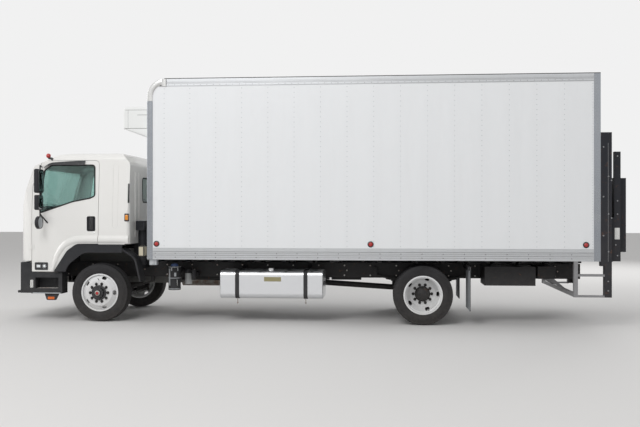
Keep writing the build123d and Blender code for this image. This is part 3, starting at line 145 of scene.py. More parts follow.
def both(*parts):
    """The parts and their mirror images on the other side."""
    return [*parts, *((np.asarray(points) * (1, -1, 1), faces) for points, faces in parts)]


def turned(profile, centre, around=48, axis="y"):
    """Profile of (distance along the axis, radius) pairs carried round the axis and closed at both ends."""
    profile = np.asarray(profile, float)
    turn = np.linspace(0, 2 * np.pi, around, endpoint=False)
    along = np.repeat(profile[:, 0][:, None], around, 1)
    first = profile[:, 1][:, None] * np.cos(turn)
    second = profile[:, 1][:, None] * np.sin(turn)
    order = {"x": (along, first, second), "y": (second, along, first), "z": (first, second, along)}[axis]
    points = np.stack(order, -1) + np.asarray(centre, float)
    return points.reshape(-1, 3), tube_faces(len(profile), around)


def copied(part, places):
    """The same part at every place, as one part: places has one row of X, Y and Z for each copy."""
    points, faces = part
    places = np.asarray(places, float).reshape(-1, 3)
    all_points = (np.asarray(points)[None] + places[:, None]).reshape(-1, 3)
    steps = (np.arange(len(places)) * len(points))[:, None, None]
    all_faces = []
    for size in sorted({len(face) for face in faces}):
        alike = np.array([face for face in faces if len(face) == size])
        all_faces += (alike[None] + steps).reshape(-1, size).tolist()
    return all_points, all_faces


def grid_places(x, y, z):
    """Every combination of stations, widths and heights, one row each."""
    return np.stack(np.meshgrid(x, y, z, indexing="ij"), -1).reshape(-1, 3)


def dome(radius, height, outward, axis="y", around=8):
    """Rivet head: a quarter circle turned round its axis, with its foot sunk into the sheet."""
    lift = np.array([-0.3, 0.0, 0.55, 0.85, 0.98])
    rings = np.stack([outward * height * lift, radius * np.sqrt(1 - np.clip(lift, 0, 1) ** 2)], -1)
    return turned(rings, (0, 0, 0), around, axis)


def hexagon(radius, height, outward, axis="y"):
    """Bolt head: a washer, a six-sided ring, a chamfer and a flat top."""
    rings = [(-0.2, 1.0), (0.8, 1.0), (1.0, 0.86)]
    return turned([(outward * height * a, radius * r) for a, r in rings], (0, 0, 0), 6, axis)


def rounded_path(corners, steps=6):
    """Closed outline of (u, v, radius) corners: each corner becomes an arc of its radius."""
    corners = np.asarray(corners, float)
    here = corners[:, :2]
    before = np.roll(here, 1, 0) - here
    after = np.roll(here, -1, 0) - here
    before /= np.linalg.norm(before, axis=1)[:, None]
    after /= np.linalg.norm(after, axis=1)[:, None]
    half = np.arccos(np.clip((before * after).sum(1), -1, 1)) / 2
    bisector = before + after
    bisector /= np.linalg.norm(bisector, axis=1)[:, None]
    centre = here + bisector * (corners[:, 2] / np.sin(half))[:, None]
    reach = (corners[:, 2] / np.tan(half))[:, None]
    start = here + before * reach - centre
    end = here + after * reach - centre
    share = np.linspace(0, 1, steps)[:, None, None]
    arc = start * (1 - share) + end * share
    length = np.linalg.norm(arc, axis=2, keepdims=True)
    arc = arc / np.maximum(length, 1e-9) * corners[:, 2][:, None]
    return (centre + arc).transpose(1, 0, 2).reshape(-1, 2)


def rectangle(u, v, radius, steps=4):
    """Rounded rectangle between two pairs of limits, as a closed outline."""
    corners = [(u[0], v[0]), (u[1], v[0]), (u[1], v[1]), (u[0], v[1])]
    return rounded_path([(*corner, radius) for corner in corners], steps)


def outward_of(path):
    """Unit normal at each point of a closed outline, away from its inside."""
    ahead = np.roll(path, -1, 0) - np.roll(path, 1, 0)
    ahead /= np.maximum(np.linalg.norm(ahead, axis=1), 1e-9)[:, None]
    return np.stack([ahead[:, 1], -ahead[:, 0]], -1)


def outline_frame(path, widths, heights, surface):
    """Band along a closed outline: its section's points are set out by widths and raised by heights."""
    spread = path[:, None] + outward_of(path)[:, None] * np.asarray(widths, float)[None, :, None]
    points = surface(spread[..., 0], spread[..., 1], np.broadcast_to(heights, spread.shape[:2]))
    return points.reshape(-1, 3), grid_faces(len(path), len(widths), True, True).tolist()


def raised(path, rings, surface):
    """Closed form standing on a surface: the outline is drawn in and raised ring by ring."""
    rings = np.asarray(rings, float)
    spread = path[None] - outward_of(path)[None] * rings[:, 0][:, None, None]
    lift = np.broadcast_to(rings[:, 1][:, None], spread.shape[:2])
    points = surface(spread[..., 0], spread[..., 1], lift)
    return points.reshape(-1, 3), tube_faces(len(rings), len(path))


def on_top(height):
    """Level surface: u is X, v is Y and the lift goes up."""
    return lambda u, v, lift: np.stack([u, v, height + lift], -1)


def on_side(width, side):
    """Upright surface along the truck: u is X, v is Z and the lift goes out to the side."""
    return lambda u, v, lift: np.stack([u, side * (width + lift), v], -1)


def on_rear(place):
    """Upright surface across the truck: u is Y, v is Z and the lift goes back."""
    return lambda u, v, lift: np.stack([place + lift, u, v], -1)


def bevelled(x, y, z, bevel=3.0):
    """Box between pairs of stations, widths and heights, with its edges rounded over."""
    high = z[1] - z[0]
    inset = 0.6 * bevel
    rings = [(inset, 0), (0, inset), (0, high - inset), (inset, high)]
    return raised(rectangle(x, y, bevel, 3), rings, on_top(z[0]))


def plate(u, v, radius, rings, surface):
    """Rounded rectangle between two pairs of limits, standing on a surface."""
    return raised(rectangle(u, v, radius), rings, surface)


def tube(points, radius, up=(0, 0, 1), around=10):
    """Circle of one radius or one for each point, carried along a line of points."""
    points = np.asarray(points, float)
    ahead = np.gradient(points, axis=0)
    ahead /= np.linalg.norm(ahead, axis=1)[:, None]
    beside = np.cross(ahead, up)
    beside /= np.linalg.norm(beside, axis=1)[:, None]
    above = np.cross(beside, ahead)
    turn = np.linspace(0, 2 * np.pi, around, endpoint=False)[None, :, None]
    ring = np.cos(turn) * beside[:, None] + np.sin(turn) * above[:, None]
    radius = np.broadcast_to(radius, len(points))[:, None, None]
    return (points[:, None] + ring * radius).reshape(-1, 3), tube_faces(len(points), around)


def smooth_line(points, steps=6):
    """Points along a curve through the given points: a cubic between every two that keeps its direction."""
    points = np.asarray(points, float)
    ends = [2 * points[0] - points[1]], points, [2 * points[-1] - points[-2]]
    padded = np.concatenate(ends)
    share = np.linspace(0, 1, steps, endpoint=False)[None, :, None]
    a, b, c, d = (padded[start:len(padded) - 3 + start][:, None] for start in range(4))
    square = 2 * a - 5 * b + 4 * c - d
    cube = 3 * b - a - 3 * c + d
    cubic = 2 * b + (c - a) * share + square * share**2 + cube * share**3
    return np.concatenate([cubic.reshape(-1, 3) / 2, points[-1:]])


# Shader groups

def new_group(name, inputs, outputs):
    """Empty shader group with float inputs and outputs."""
    group = bpy.data.node_groups.new(name, "ShaderNodeTree")
    for title, default in inputs:
        socket = group.interface.new_socket(title, in_out="INPUT", socket_type="NodeSocketFloat")
        socket.default_value = default
    for title in outputs:
        group.interface.new_socket(title, in_out="OUTPUT", socket_type="NodeSocketFloat")
    return group, group.nodes.new("NodeGroupInput"), group.nodes.new("NodeGroupOutput")


def feed(tree, value, socket):
    """Links a socket into another, or sets a plain number on it."""
    if hasattr(value, "default_value"):
        tree.links.new(value, socket)
    else:
        socket.default_value = value


def object_noise(tree, stretch, scale, detail=6.0, roughness=0.6):
    """Noise on Object coordinates, stretched by a vector; scale is a number or a socket."""
    coordinates = tree.nodes.new("ShaderNodeTexCoord")
    mapping = tree.nodes.new("ShaderNodeMapping")
    mapping.inputs["Scale"].default_value = stretch
    noise = tree.nodes.new("ShaderNodeTexNoise")
    noise.inputs["Detail"].default_value = detail
    noise.inputs["Roughness"].default_value = roughness
    tree.links.new(coordinates.outputs["Object"], mapping.inputs["Vector"])
    tree.links.new(mapping.outputs["Vector"], noise.inputs["Vector"])
    feed(tree, scale, noise.inputs["Scale"])
    return noise.outputs["Fac"]


def value_range(tree, source, low, high, to_low=0.0, to_high=1.0):
    """Map Range with clamped ends; each limit is a number or a socket."""
    ramp = tree.nodes.new("ShaderNodeMapRange")
    tree.links.new(source, ramp.inputs["Value"])
    for title, value in (("From Min", low), ("From Max", high), ("To Min", to_low), ("To Max", to_high)):
        feed(tree, value, ramp.inputs[title])
    return ramp.outputs["Result"]


def combine(tree, operation, first, second):
    """Math node on two numbers or sockets."""
    math_node = tree.nodes.new("ShaderNodeMath")
    math_node.operation = operation
    for place, value in enumerate((first, second)):
        feed(tree, value, math_node.inputs[place])
    return math_node.outputs[0]


def low_dust_group():
    """Road dust thrown up by the wheels: a mask that grows from Top down to Bottom, broken up by noise."""
    group, given, result = new_group("low dust", [("Top", 1.2), ("Bottom", 0.3), ("Scale", 6.0)], ["Mask"])
    coordinates = group.nodes.new("ShaderNodeTexCoord")
    split = group.nodes.new("ShaderNodeSeparateXYZ")
    group.links.new(coordinates.outputs["Object"], split.inputs[0])
    height = value_range(group, split.outputs["Z"], given.outputs["Top"], given.outputs["Bottom"])
    cloud = object_noise(group, (1, 1, 1), given.outputs["Scale"])
    broken = value_range(group, cloud, 0.3, 0.75, 0.35, 1.0)
    group.links.new(combine(group, "MULTIPLY", height, broken), result.inputs["Mask"])
    return group


def streak_group():
    """Mask of thin upright streaks: noise drawn out along Z and cut between Low and High."""
    inputs = [("Scale", 14.0), ("Low", 0.55), ("High", 0.8)]
    group, given, result = new_group("rain streaks", inputs, ["Mask"])
    noise = object_noise(group, (1, 1, 0.06), given.outputs["Scale"], 4.0)
    mask = value_range(group, noise, given.outputs["Low"], given.outputs["High"])
    group.links.new(mask, result.inputs["Mask"])
    return group


def patch_group():
    """Mask of ragged patches for rust, wear and stains: fine noise cut between Low and High."""
    inputs = [("Scale", 20.0), ("Low", 0.56), ("High", 0.66)]
    group, given, result = new_group("ragged patches", inputs, ["Mask"])
    noise = object_noise(group, (1, 1, 1), given.outputs["Scale"], 12.0, 0.68)
    mask = value_range(group, noise, given.outputs["Low"], given.outputs["High"])
    group.links.new(mask, result.inputs["Mask"])
    return group


def grain_group():
    """Fine even grain for bump: noise at one small scale."""
    group, given, result = new_group("fine grain", [("Scale", 900.0)], ["Height"])
    group.links.new(object_noise(group, (1, 1, 1), given.outputs["Scale"], 3.0), result.inputs["Height"])
    return group


def brushed_group():
    """Drawn metal: noise stretched a hundredfold along X, as height."""
    group, given, result = new_group("drawn metal", [("Scale", 300.0)], ["Height"])
    group.links.new(object_noise(group, (0.01, 1, 1), given.outputs["Scale"], 5.0), result.inputs["Height"])
    return group


def sheet_group():
    """Riveted sheet: soft noise, higher than wide, and a sine of one turn for each post."""
    group, given, result = new_group("sheet waves", [("Scale", 1.6), ("Pitch", 0.4064)], ["Height"])
    coordinates = group.nodes.new("ShaderNodeTexCoord")
    split = group.nodes.new("ShaderNodeSeparateXYZ")
    group.links.new(coordinates.outputs["Object"], split.inputs[0])
    turns = combine(group, "DIVIDE", split.outputs["X"], given.outputs["Pitch"])
    wave = combine(group, "SINE", combine(group, "MULTIPLY", turns, 2 * math.pi), 0.0)
    soft = object_noise(group, (1, 1, 0.35), given.outputs["Scale"], 3.0)
    height = combine(group, "MULTIPLY", wave, 0.12)
    group.links.new(combine(group, "ADD", height, soft), result.inputs["Height"])
    return group


SHADER_GROUPS = (low_dust_group, streak_group, patch_group, grain_group, brushed_group, sheet_group)


def effect(tree, name, settings):
    """One use of a group in a material, with its own values; returns its only output."""
    use = tree.nodes.new("ShaderNodeGroup")
    use.node_tree = bpy.data.node_groups[name]
    for title, value in settings.items():
        use.inputs[title].default_value = value
    return use.outputs[0]


def finish(name, colour, roughness, metallic=0.0, coat=0.0, layers=(), bump=None, tune=None):
    """Principled material: a base colour, layers over it, a bump, and values set on its own sockets.

    A layer is (group, settings, colour, amount, roughness).
    A bump is (group, settings, distance in metres).
    """
    material = bpy.data.materials.new(name)
    material.use_nodes = True
    tree = material.node_tree
    shader = tree.nodes["Principled BSDF"]
    shader.inputs["Metallic"].default_value = metallic
    shader.inputs["Coat Weight"].default_value = coat
    shader.inputs["Base Color"].default_value = (*colour, 1)
    shader.inputs["Roughness"].default_value = roughness
    colour_from = None
    rough_from = None
    for group, settings, over, amount, over_roughness in layers:
        mask = combine(tree, "MULTIPLY", effect(tree, group, settings), amount)
        mix = tree.nodes.new("ShaderNodeMix")
        mix.data_type = "RGBA"
        tree.links.new(mask, mix.inputs["Factor"])
        if colour_from is None:
            mix.inputs["A"].default_value = (*colour, 1)
        else:
            tree.links.new(colour_from, mix.inputs["A"])
        mix.inputs["B"].default_value = (*over, 1)
        colour_from = mix.outputs["Result"]
        before = roughness if rough_from is None else rough_from
        rough_from = value_range(tree, mask, 0.0, 1.0, before, over_roughness)
    if colour_from is not None:
        tree.links.new(colour_from, shader.inputs["Base Color"])
        tree.links.new(rough_from, shader.inputs["Roughness"])
    if bump is not None:
        group, settings, distance = bump
        bumps = tree.nodes.new("ShaderNodeBump")
        bumps.inputs["Distance"].default_value = distance
        tree.links.new(effect(tree, group, settings), bumps.inputs["Height"])
        tree.links.new(bumps.outputs["Normal"], shader.inputs["Normal"])
    for title, value in (tune or {}).items():
        shader.inputs[title].default_value = value
    return material


# Finishes

ROAD_DUST = (0.42, 0.36, 0.29)
DRY_DUST = (0.5, 0.46, 0.4)
RUST = (0.2, 0.085, 0.04)


def grain(scale, distance):
    """Bump of fine even grain."""
    return "fine grain", {"Scale": scale}, distance


def drawn(distance, scale=300.0):
    """Bump of drawn metal."""
    return "drawn metal", {"Scale": scale}, distance


def patches(scale, low, high, colour, amount, roughness):
    """Layer of ragged patches."""
    return "ragged patches", {"Scale": scale, "Low": low, "High": high}, colour, amount, roughness


def streaked(scale, colour, amount, roughness):
    """Layer of rain streaks."""
    return "rain streaks", {"Scale": scale, "Low": 0.5, "High": 0.85}, colour, amount, roughness


def dusty(top, bottom, scale, colour, amount, roughness):
    """Layer of dust between two heights in metres."""
    return "low dust", {"Top": top, "Bottom": bottom, "Scale": scale}, colour, amount, roughness


def white_paints(colours):
    """White paints and skins: a mottle or rain streaks, road dust below, and rust spots on the wheels."""
    low = dusty(1.5, 0.5, 7.0, ROAD_DUST, 0.1, 0.5)
    mottle = patches(2.2, 0.45, 0.8, (0.76, 0.75, 0.72), 0.15, 0.36)
    finish("cab paint", colours.cab_white, 0.22, coat=0.5, layers=[mottle, low])
    streaks = streaked(9.0, (0.7, 0.7, 0.7), 0.12, 0.45)
    waves = ("sheet waves", {}, 0.011)
    finish("body sheet", colours.body_white, 0.33, coat=0.15, layers=[streaks], bump=waves)
    finish("unit skin", colours.unit_white, 0.38, layers=[streaks], bump=grain(700.0, 0.0003))
    rust = patches(26.0, 0.62, 0.7, RUST, 0.5, 0.8)
    dust = dusty(1.0, 0.0, 24.0, ROAD_DUST, 0.35, 0.65)
    finish("wheel enamel", colours.wheel_white, 0.3, coat=0.3, layers=[dust, rust])


def metals(colours):
    """Bare metals, bright parts and blank plates: dull patches and streaks over drawn or cast metal."""
    dull = patches(5.0, 0.4, 0.85, (0.5, 0.5, 0.5), 0.22, 0.5)
    streaks = streaked(22.0, (0.4, 0.39, 0.37), 0.14, 0.6)
    heat = patches(14.0, 0.4, 0.6, RUST, 0.55, 0.8)

    def dulled(amount, roughness):
        """The dull patches at another strength."""
        return dull[:3] + (amount, roughness)

    finish("body extrusion", (0.6, 0.615, 0.63), 0.34, 0.8, layers=[dull, streaks], bump=drawn(0.0006))
    tank_bump = drawn(0.0004, 200.0)
    finish("tank aluminium", (0.79, 0.8, 0.82), 0.27, 0.9, layers=[dulled(0.08, 0.35)], bump=tank_bump)
    finish("floor aluminium", (0.5, 0.51, 0.52), 0.5, 0.8, layers=[dull], bump=drawn(0.001))
    finish("exhaust steel", (0.42, 0.4, 0.37), 0.5, 0.8, layers=[heat])
    finish("zinc bolt", (0.5, 0.5, 0.48), 0.42, 0.85, layers=[heat])
    finish("rail shade", (0.2, 0.2, 0.21), 0.5, 0.5, layers=[streaks])
    # Rivet alloy: a bare alloy grey; on the wall rivets it is kept a little dark as painted shade round the
    # small heads.
    finish("rivet alloy", (0.5, 0.52, 0.54), 0.4, 0.3, layers=[dull])
    finish("post alloy", (0.34, 0.36, 0.39), 0.24, 0.9, layers=[dull, streaks], bump=drawn(0.0006))
    finish("bright casting", (0.66, 0.66, 0.65), 0.25, 0.9, layers=[dull])
    finish("chrome", (0.82, 0.83, 0.84), 0.1, 1.0, layers=[dulled(0.15, 0.25)])
    finish("mirror silver", (0.3, 0.32, 0.34), 0.03, 1.0, layers=[dulled(0.05, 0.1)])
    finish("blank plate", (0.3, 0.27, 0.14), 0.4, layers=[streaks])
    finish("blank label", (0.75, 0.75, 0.73), 0.45, layers=[dull[:2] + ((0.55, 0.53, 0.5), 0.3, 0.5)])
    finish("canister blue", (0.08, 0.14, 0.35), 0.4, layers=[dulled(0.2, 0.5)])
    finish("filter skin", (0.55, 0.56, 0.56), 0.4, layers=[streaks])
    finish("reservoir plastic", (0.6, 0.55, 0.42), 0.45, layers=[streaks])


def dark_steels(colours):
    """Painted steel of the gate, steps and chassis, and cast iron: dry dust below, rust in ragged spots."""
    low_shine = {"Specular IOR Level": 0.3}
    gate = [dusty(2.4, 0.4, 9.0, DRY_DUST, 0.06, 0.8), patches(13.0, 0.58, 0.74, RUST, 0.5, 0.85)]
    under = [dusty(1.1, 0.2, 12.0, DRY_DUST, 0.1, 0.85), patches(16.0, 0.6, 0.7, RUST, 0.5, 0.85)]
    gate_bump = grain(260.0, 0.0008)
    finish("gate steel", colours.gate_black, 0.5, layers=gate, bump=gate_bump, tune=low_shine)
    finish("step steel", (0.27, 0.27, 0.28), 0.5, 0.3, layers=gate, bump=grain(260.0, 0.0006))
    frame_bump = grain(300.0, 0.0008)
    finish("chassis paint", colours.frame_black, 0.5, layers=under, bump=frame_bump, tune=low_shine)
    finish("cast iron", (0.14, 0.14, 0.135), 0.65, 0.3, layers=under, bump=grain(350.0, 0.001))


def plastics(colours):
    """Plastics, rubbers and seat cloth: faded patches and dust over a fine grain."""
    low_shine = {"Specular IOR Level": 0.25}
    dust = dusty(1.3, 0.2, 9.0, DRY_DUST, 0.08, 0.8)
    fade = patches(5.0, 0.4, 0.8, (0.05, 0.05, 0.055), 0.4, 0.62)
    trim_bump = grain(1200.0, 0.0005)
    finish("dark plastic", colours.trim_black, 0.5, layers=[fade, dust], bump=trim_bump, tune=low_shine)
    finish("black gloss", (0.02, 0.02, 0.022), 0.2, coat=0.3, layers=[fade])
    finish("cab plastic", (0.17, 0.17, 0.18), 0.55, layers=[fade], bump=grain(1500.0, 0.0004))
    finish("seal rubber", (0.018, 0.018, 0.018), 0.6, layers=[dust], tune=low_shine)
    wall = dusty(1.0, -0.1, 18.0, ROAD_DUST, 0.1, 0.9)
    tyre_bump = grain(500.0, 0.0006)
    finish("tyre rubber", colours.tyre_black, 0.7, layers=[fade, wall], bump=tyre_bump, tune=low_shine)
    finish("flap rubber", (0.3, 0.32, 0.34), 0.7, layers=[dust], bump=grain(500.0, 0.0005))
    weave = grain(2600.0, 0.001)
    finish("seat cloth", (0.12, 0.12, 0.135), 0.9, layers=[fade], bump=weave, tune={"Sheen Weight": 0.4})


def lenses():
    """Glass and lens plastics, each with a faint haze."""
    glass = {"Transmission Weight": 1.0, "IOR": 1.45}
    haze = patches(3.0, 0.45, 0.8, (0.5, 0.62, 0.6), 0.2, 0.1)
    faint = haze[:3] + (0.05, 0.2)
    finish("tinted glass", (0.46, 0.66, 0.62), 0.03, layers=[haze], tune={**glass, "Alpha": 0.85})
    finish("clear lens", (0.86, 0.88, 0.9), 0.06, layers=[haze], tune={"Coat Weight": 0.6})
    finish("red lens", (0.45, 0.012, 0.01), 0.15, coat=0.6, layers=[faint])
    finish("amber lens", (0.85, 0.3, 0.015), 0.15, coat=0.6, layers=[faint])
    finish("orange lens", (0.8, 0.16, 0.01), 0.15, coat=0.6, layers=[faint])


# Material of each slot in the record

SLOT_FINISH = {
    "frame_black": "chassis paint",
    "cast_block": "cast iron",
    "tank_metal": "tank aluminium",
    "dark_trim": "dark plastic",
    "dull_steel": "exhaust steel",
    "cab_white": "cab paint",
    "clear_lens": "clear lens",
    "red_lens": "red lens",
    "amber_lens": "amber lens",
    "unit_white": "unit skin",
    "gate_steel": "gate steel",
    "step_steel": "step steel",
    "body_metal": "body extrusion",
    "body_white": "body sheet",
    "floor_metal": "floor aluminium",
    "tinted_glass": "tinted glass",
    "cab_plastic": "cab plastic",
    "seat_fabric": "seat cloth",
    "wheel_white": "wheel enamel",
    "tyre_rubber": "tyre rubber",
}

# Slot of every material

SLOT_OF = {title: slot for slot, title in SLOT_FINISH.items()}
SLOT_OF.update({
    "zinc bolt": "dull_steel",
    "rivet alloy": "body_white",
    "rail shade": "body_metal",
    "bright casting": "body_metal",
    "post alloy": "body_metal",
    "chrome": "clear_lens",
    "mirror silver": "clear_lens",
    "black gloss": "dark_trim",
    "seal rubber": "dark_trim",
    "blank label": "unit_white",
    "blank plate": "tank_metal",
    "canister blue": "tank_metal",
    "filter skin": "tank_metal",
    "reservoir plastic": "tank_metal",
    "flap rubber": "dark_trim",
    "orange lens": "amber_lens",
})


def colour_setting(name, description, default):
    """Colour that a user would change."""
    return bpy.props.FloatVectorProperty(
        name=name, description=description, subtype="COLOR", default=default, min=0, max=1
    )


def length_setting(name, description, default, low, high):
    """Length in metres that a user would change."""
    return bpy.props.FloatProperty(
        name=name, description=description, default=default, min=low, max=high, unit="LENGTH"
    )


class TruckColours(bpy.types.PropertyGroup):
    """Colours that a user would change."""

    cab_white: colour_setting("Cab white", "Paint of the cab", (0.84, 0.832, 0.81))
    body_white: colour_setting("Body white", "Sheet of the body's walls", (0.84, 0.855, 0.87))
    unit_white: colour_setting("Unit white", "Skin of the cooling unit", (0.82, 0.83, 0.82))
    wheel_white: colour_setting("Wheel white", "Enamel of the wheels", (0.78, 0.79, 0.8))
    gate_black: colour_setting("Gate black", "Paint of the lift gate", (0.016, 0.017, 0.023))
    frame_black: colour_setting("Frame black", "Paint of the chassis", (0.013, 0.013, 0.015))
    trim_black: colour_setting("Trim black", "Dark plastic of flares and steps", (0.02, 0.021, 0.025))
    tyre_black: colour_setting("Tyre black", "Rubber of the tyres", (0.02, 0.02, 0.022))


class TruckSizes(bpy.types.PropertyGroup):
    """Sizes that a user would change, in metres."""

    tread_depth: length_setting("Tread depth", "Depth of the tyres' grooves", 0.012, 0.002, 0.02)
    tread_blocks: bpy.props.IntProperty(
        name="Tread blocks", description="Blocks round each tyre", default=56, min=24, max=90
    )
    post_pitch: length_setting("Post pitch", "Distance between rivet columns", 0.4064, 0.2, 0.7)
    rivet_pitch: length_setting("Rivet pitch", "Distance between rivets", 0.0762, 0.04, 0.2)
    rivet_radius: length_setting("Rivet radius", "Radius of a rivet's head", 0.0062, 0.003, 0.012)
    bolt_pitch: length_setting("Bolt pitch", "Distance between the rail's bolts", 0.317, 0.1, 0.6)


class TRUCK_OT_finishes(bpy.types.Operator):
    """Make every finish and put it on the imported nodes."""

    bl_idname = "truck.finishes"
    bl_label = "Finishes"

    def execute(self, context):
        colours = context.scene.truck_colours
        for make_group in SHADER_GROUPS:
            make_group()
        white_paints(colours)
        metals(colours)
        dark_steels(colours)
        plastics(colours)
        lenses()
        for name, piece in nodes.items():
            piece.data.materials.clear()
            title = "post alloy" if name == "rear_frame" else SLOT_FINISH[slots[name]]
            piece.data.materials.append(bpy.data.materials[title])
        return {"FINISHED"}


# Tyres

GROOVES = (-0.062, -0.021, 0.021, 0.062)
GROOVE_HALF = 0.0055
GROOVE_SPACING = 0.0205
TYRE_HALF = 0.1275
TYRE_RADIUS = 0.460
BEAD_RADIUS = 0.2895
TREAD_HALF = 0.104
SHOULDER_DROP = 0.006
SHOULDER_EDGE = 0.012
SIDE_RISE = (
    0, 0.05, 0.1, 0.12, 0.15, 0.17, 0.25, 0.34, 0.44,
    0.54, 0.6, 0.615, 0.64, 0.655, 0.74, 0.8, 0.86, 0.93,
)
LINING_HALF = 0.1
LINING_RISE = 0.13
SHOULDER_CUT = 0.6
TREAD_CUT = 0.85


def tyre_side():
    """Left side of the section from the bead to the shoulder, as rows of distance, radius and no tread.

    It is a superellipse drawn in towards the rim, with a raised ring near the bead and a sunk one above
    the middle.
    """
    rise = np.array(SIDE_RISE)
    ring = 0.003 * ((rise > 0.11) & (rise < 0.16)) - 0.0025 * ((rise > 0.61) & (rise < 0.65))
    radius = BEAD_RADIUS + (TYRE_RADIUS - 0.013 - BEAD_RADIUS) * rise
    bulge = 1 - np.abs(2.1 * (rise - 0.48)) ** 2.6
    flare = SHOULDER_EDGE * (rise > 0.8) * (rise - 0.8) / 0.2
    width = TREAD_HALF + 0.001 + (TYRE_HALF - TREAD_HALF - 0.001) * bulge + flare + ring
    return np.stack([-width, radius, np.zeros_like(rise)], -1)


def tyre_section():
    """Closed cross-section: distance along the axle, radius and how deep the tread may be cut there.

    The tread is a shallow parabola with a step down at each shoulder. The inner lining is a flat-topped
    arch from bead to bead.
    """
    side = tyre_side()
    rib, groove = 1.0, 2.0
    edges = [
        (-TREAD_HALF - SHOULDER_EDGE, 0.0),
        (-TREAD_HALF - 0.003, rib),
        (-TREAD_HALF + SHOULDER_EDGE, rib),
    ]
    for middle_line in GROOVES:
        for step, cut in ((-1.25, rib), (-0.8, groove), (0.8, groove), (1.25, rib)):
            edges.append((middle_line + step * GROOVE_HALF, cut))
        edges.append((middle_line + GROOVE_SPACING, rib))
    edges[-1:] = [(-along, cut) for along, cut in edges[2::-1]]
    edges = np.array(edges)
    along = edges[:, 0]
    beyond = np.abs(along) > TREAD_HALF
    radius = TYRE_RADIUS - SHOULDER_DROP * (along / TREAD_HALF) ** 2 - SHOULDER_DROP * beyond
    tread = np.stack([along, radius, edges[:, 1]], -1)
    across = np.linspace(0.96, -0.96, 9)
    arch = BEAD_RADIUS + LINING_RISE * (1 - across**4)
    lining = np.stack([across * LINING_HALF, arch, np.zeros_like(across)], -1)
    return np.concatenate([side, tread, (side * (-1, 1, 1))[::-1], lining])


def tyre_surface(centre, depth, blocks, driven):
    """Section carried round the axle, with long grooves and a cross groove between every two blocks.

    The cross grooves are cut in the shoulders only on a steered tyre, and in the whole tread on a driven
    one, where they also lean along the axle.
    """
    section = tyre_section()
    share = np.array([0.0, 0.035, 0.17, 0.205, 0.6])
    cut = np.array([0.0, 1.0, 1.0, 0.0, 0.0])
    turn = ((np.arange(blocks)[:, None] + share) * 2 * np.pi / blocks).reshape(-1)
    along, radius, tread = section.T
    long_cut = tread > 1.5
    shoulder = (np.abs(along) > 0.07) & (tread > 0.5)
    open_cross = (tread > 0.5) if driven else shoulder
    lean = (0.10 if driven else 0.02) * along / TREAD_HALF
    cross = np.tile(cut, blocks)[None] * (TREAD_CUT if driven else SHOULDER_CUT)
    groove = np.maximum(long_cut[:, None] * 1.0, open_cross[:, None] * cross)
    size = radius[:, None] - depth * groove
    angle = turn[None] + lean[:, None] * open_cross[:, None]
    wide = np.broadcast_to(along[:, None], size.shape)
    points = np.stack([size * np.sin(angle), wide, size * np.cos(angle)], -1)
    return points.reshape(-1, 3) + centre, grid_faces(len(section), len(turn), True, True).tolist()


class TRUCK_OT_tyres(bpy.types.Operator):
    """Model every tyre with its sidewalls and tread."""

    bl_idname = "truck.tyres"
    bl_label = "Tyres"

    def execute(self, context):
        sizes = context.scene.truck_sizes
        for name, side in SIDES:
            front = np.array([FRONT_AXLE[0], side * abs(FRONT_AXLE[1]), FRONT_AXLE[2]])
            self.make("front", name, "tyre_front_" + name, "front_wheel_" + name, [front], sizes)
            low, high = (np.array(corner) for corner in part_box("tyres_rear_" + name))
            widths = (low[1] + TYRE_HALF, high[1] - TYRE_HALF)
            rear = [np.array([REAR_AXLE[0], y, REAR_AXLE[2]]) for y in widths]
            self.make("rear", name, "tyres_rear_" + name, "rear_wheels_" + name, rear, sizes)
        return {"FINISHED"}

    def make(self, end, name, node, body, centres, sizes):
        """Tyres of one wheel or one pair of twins as one piece that stands for their node."""
        driven = end == "rear"
        parts = [tyre_surface(centre, sizes.tread_depth, sizes.tread_blocks, driven) for centre in centres]
        piece = add_piece("tread_" + end + "_" + name, *joined(parts), body, "tyre_rubber", "tyre rubber")
        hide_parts(node)


# Wheel fittings

BOLT_CIRCLE = 142.875
NUTS = 10
NUT_START = 0.31
NUT_FACE = {"front": 145, "rear": 11}
HUB_RINGS = {
    "front": [
        (146, 119), (158, 119), (160, 108), (160, 90), (164, 88),
        (208, 80.5), (212, 53), (228, 48.5), (230, 46),
    ],
    "rear": [(11, 119), (24, 119), (26, 110), (27, 101), (64, 96.5), (68, 78.5), (87, 42.5)],
}
HUB_BOLTS = {"front": (6, 66, 208.5, 6), "rear": (9, 87, 66.5, 8)}
HUB_COVER_FINISH = {"front": "black gloss", "rear": "chassis paint"}
CAP_RINGS = ((222, 23), (234, 22), (237, 15), (238, 5))
CAP_RIM_RINGS = ((222, 40), (232, 40), (235, 36), (235, 27), (230, 25), (222, 25))


def outward_rings(rings, side, more=0.0):
    """Profile of (distance, radius) pairs turned out to one side of the truck."""
    return [(side * along, radius + more) for along, radius in rings]


def around_axle(circle, count, along, start=0.0):
    """Places evenly round the axle at one distance along it."""
    turn = np.arange(count) * 2 * np.pi / count + start
    return np.stack([circle * np.sin(turn), np.full(count, along), circle * np.cos(turn)], -1)


def wheel_nut(outward):
    """Flanged wheel nut: a round washer, a hexagon with a chamfer and the end of its stud."""
    washer = turned([(0, 24), (outward * 3, 24), (outward * 4, 21)], (0, 0, 0), 16)
    nut = turned([(outward * 3, 19), (outward * 20, 19), (outward * 24, 15.5)], (0, 0, 0), 6)
    stud = turned([(outward * 22, 10.5), (outward * 36, 10.5), (outward * 38, 8.5)], (0, 0, 0), 10)
    return joined([washer, nut, stud])


def valve(outward, along):
    """Valve stem: a thin tube bent out of the disc towards the rim, with its cap."""
    route = [(0, outward * (along + out), height) for out, height in ((0, 196), (18, 204), (52, 226))]
    line = smooth_line(route, 4)
    return tube(line, np.where(np.arange(len(line)) > len(line) - 4, 5.5, 3.6), (1, 0, 0), 8)


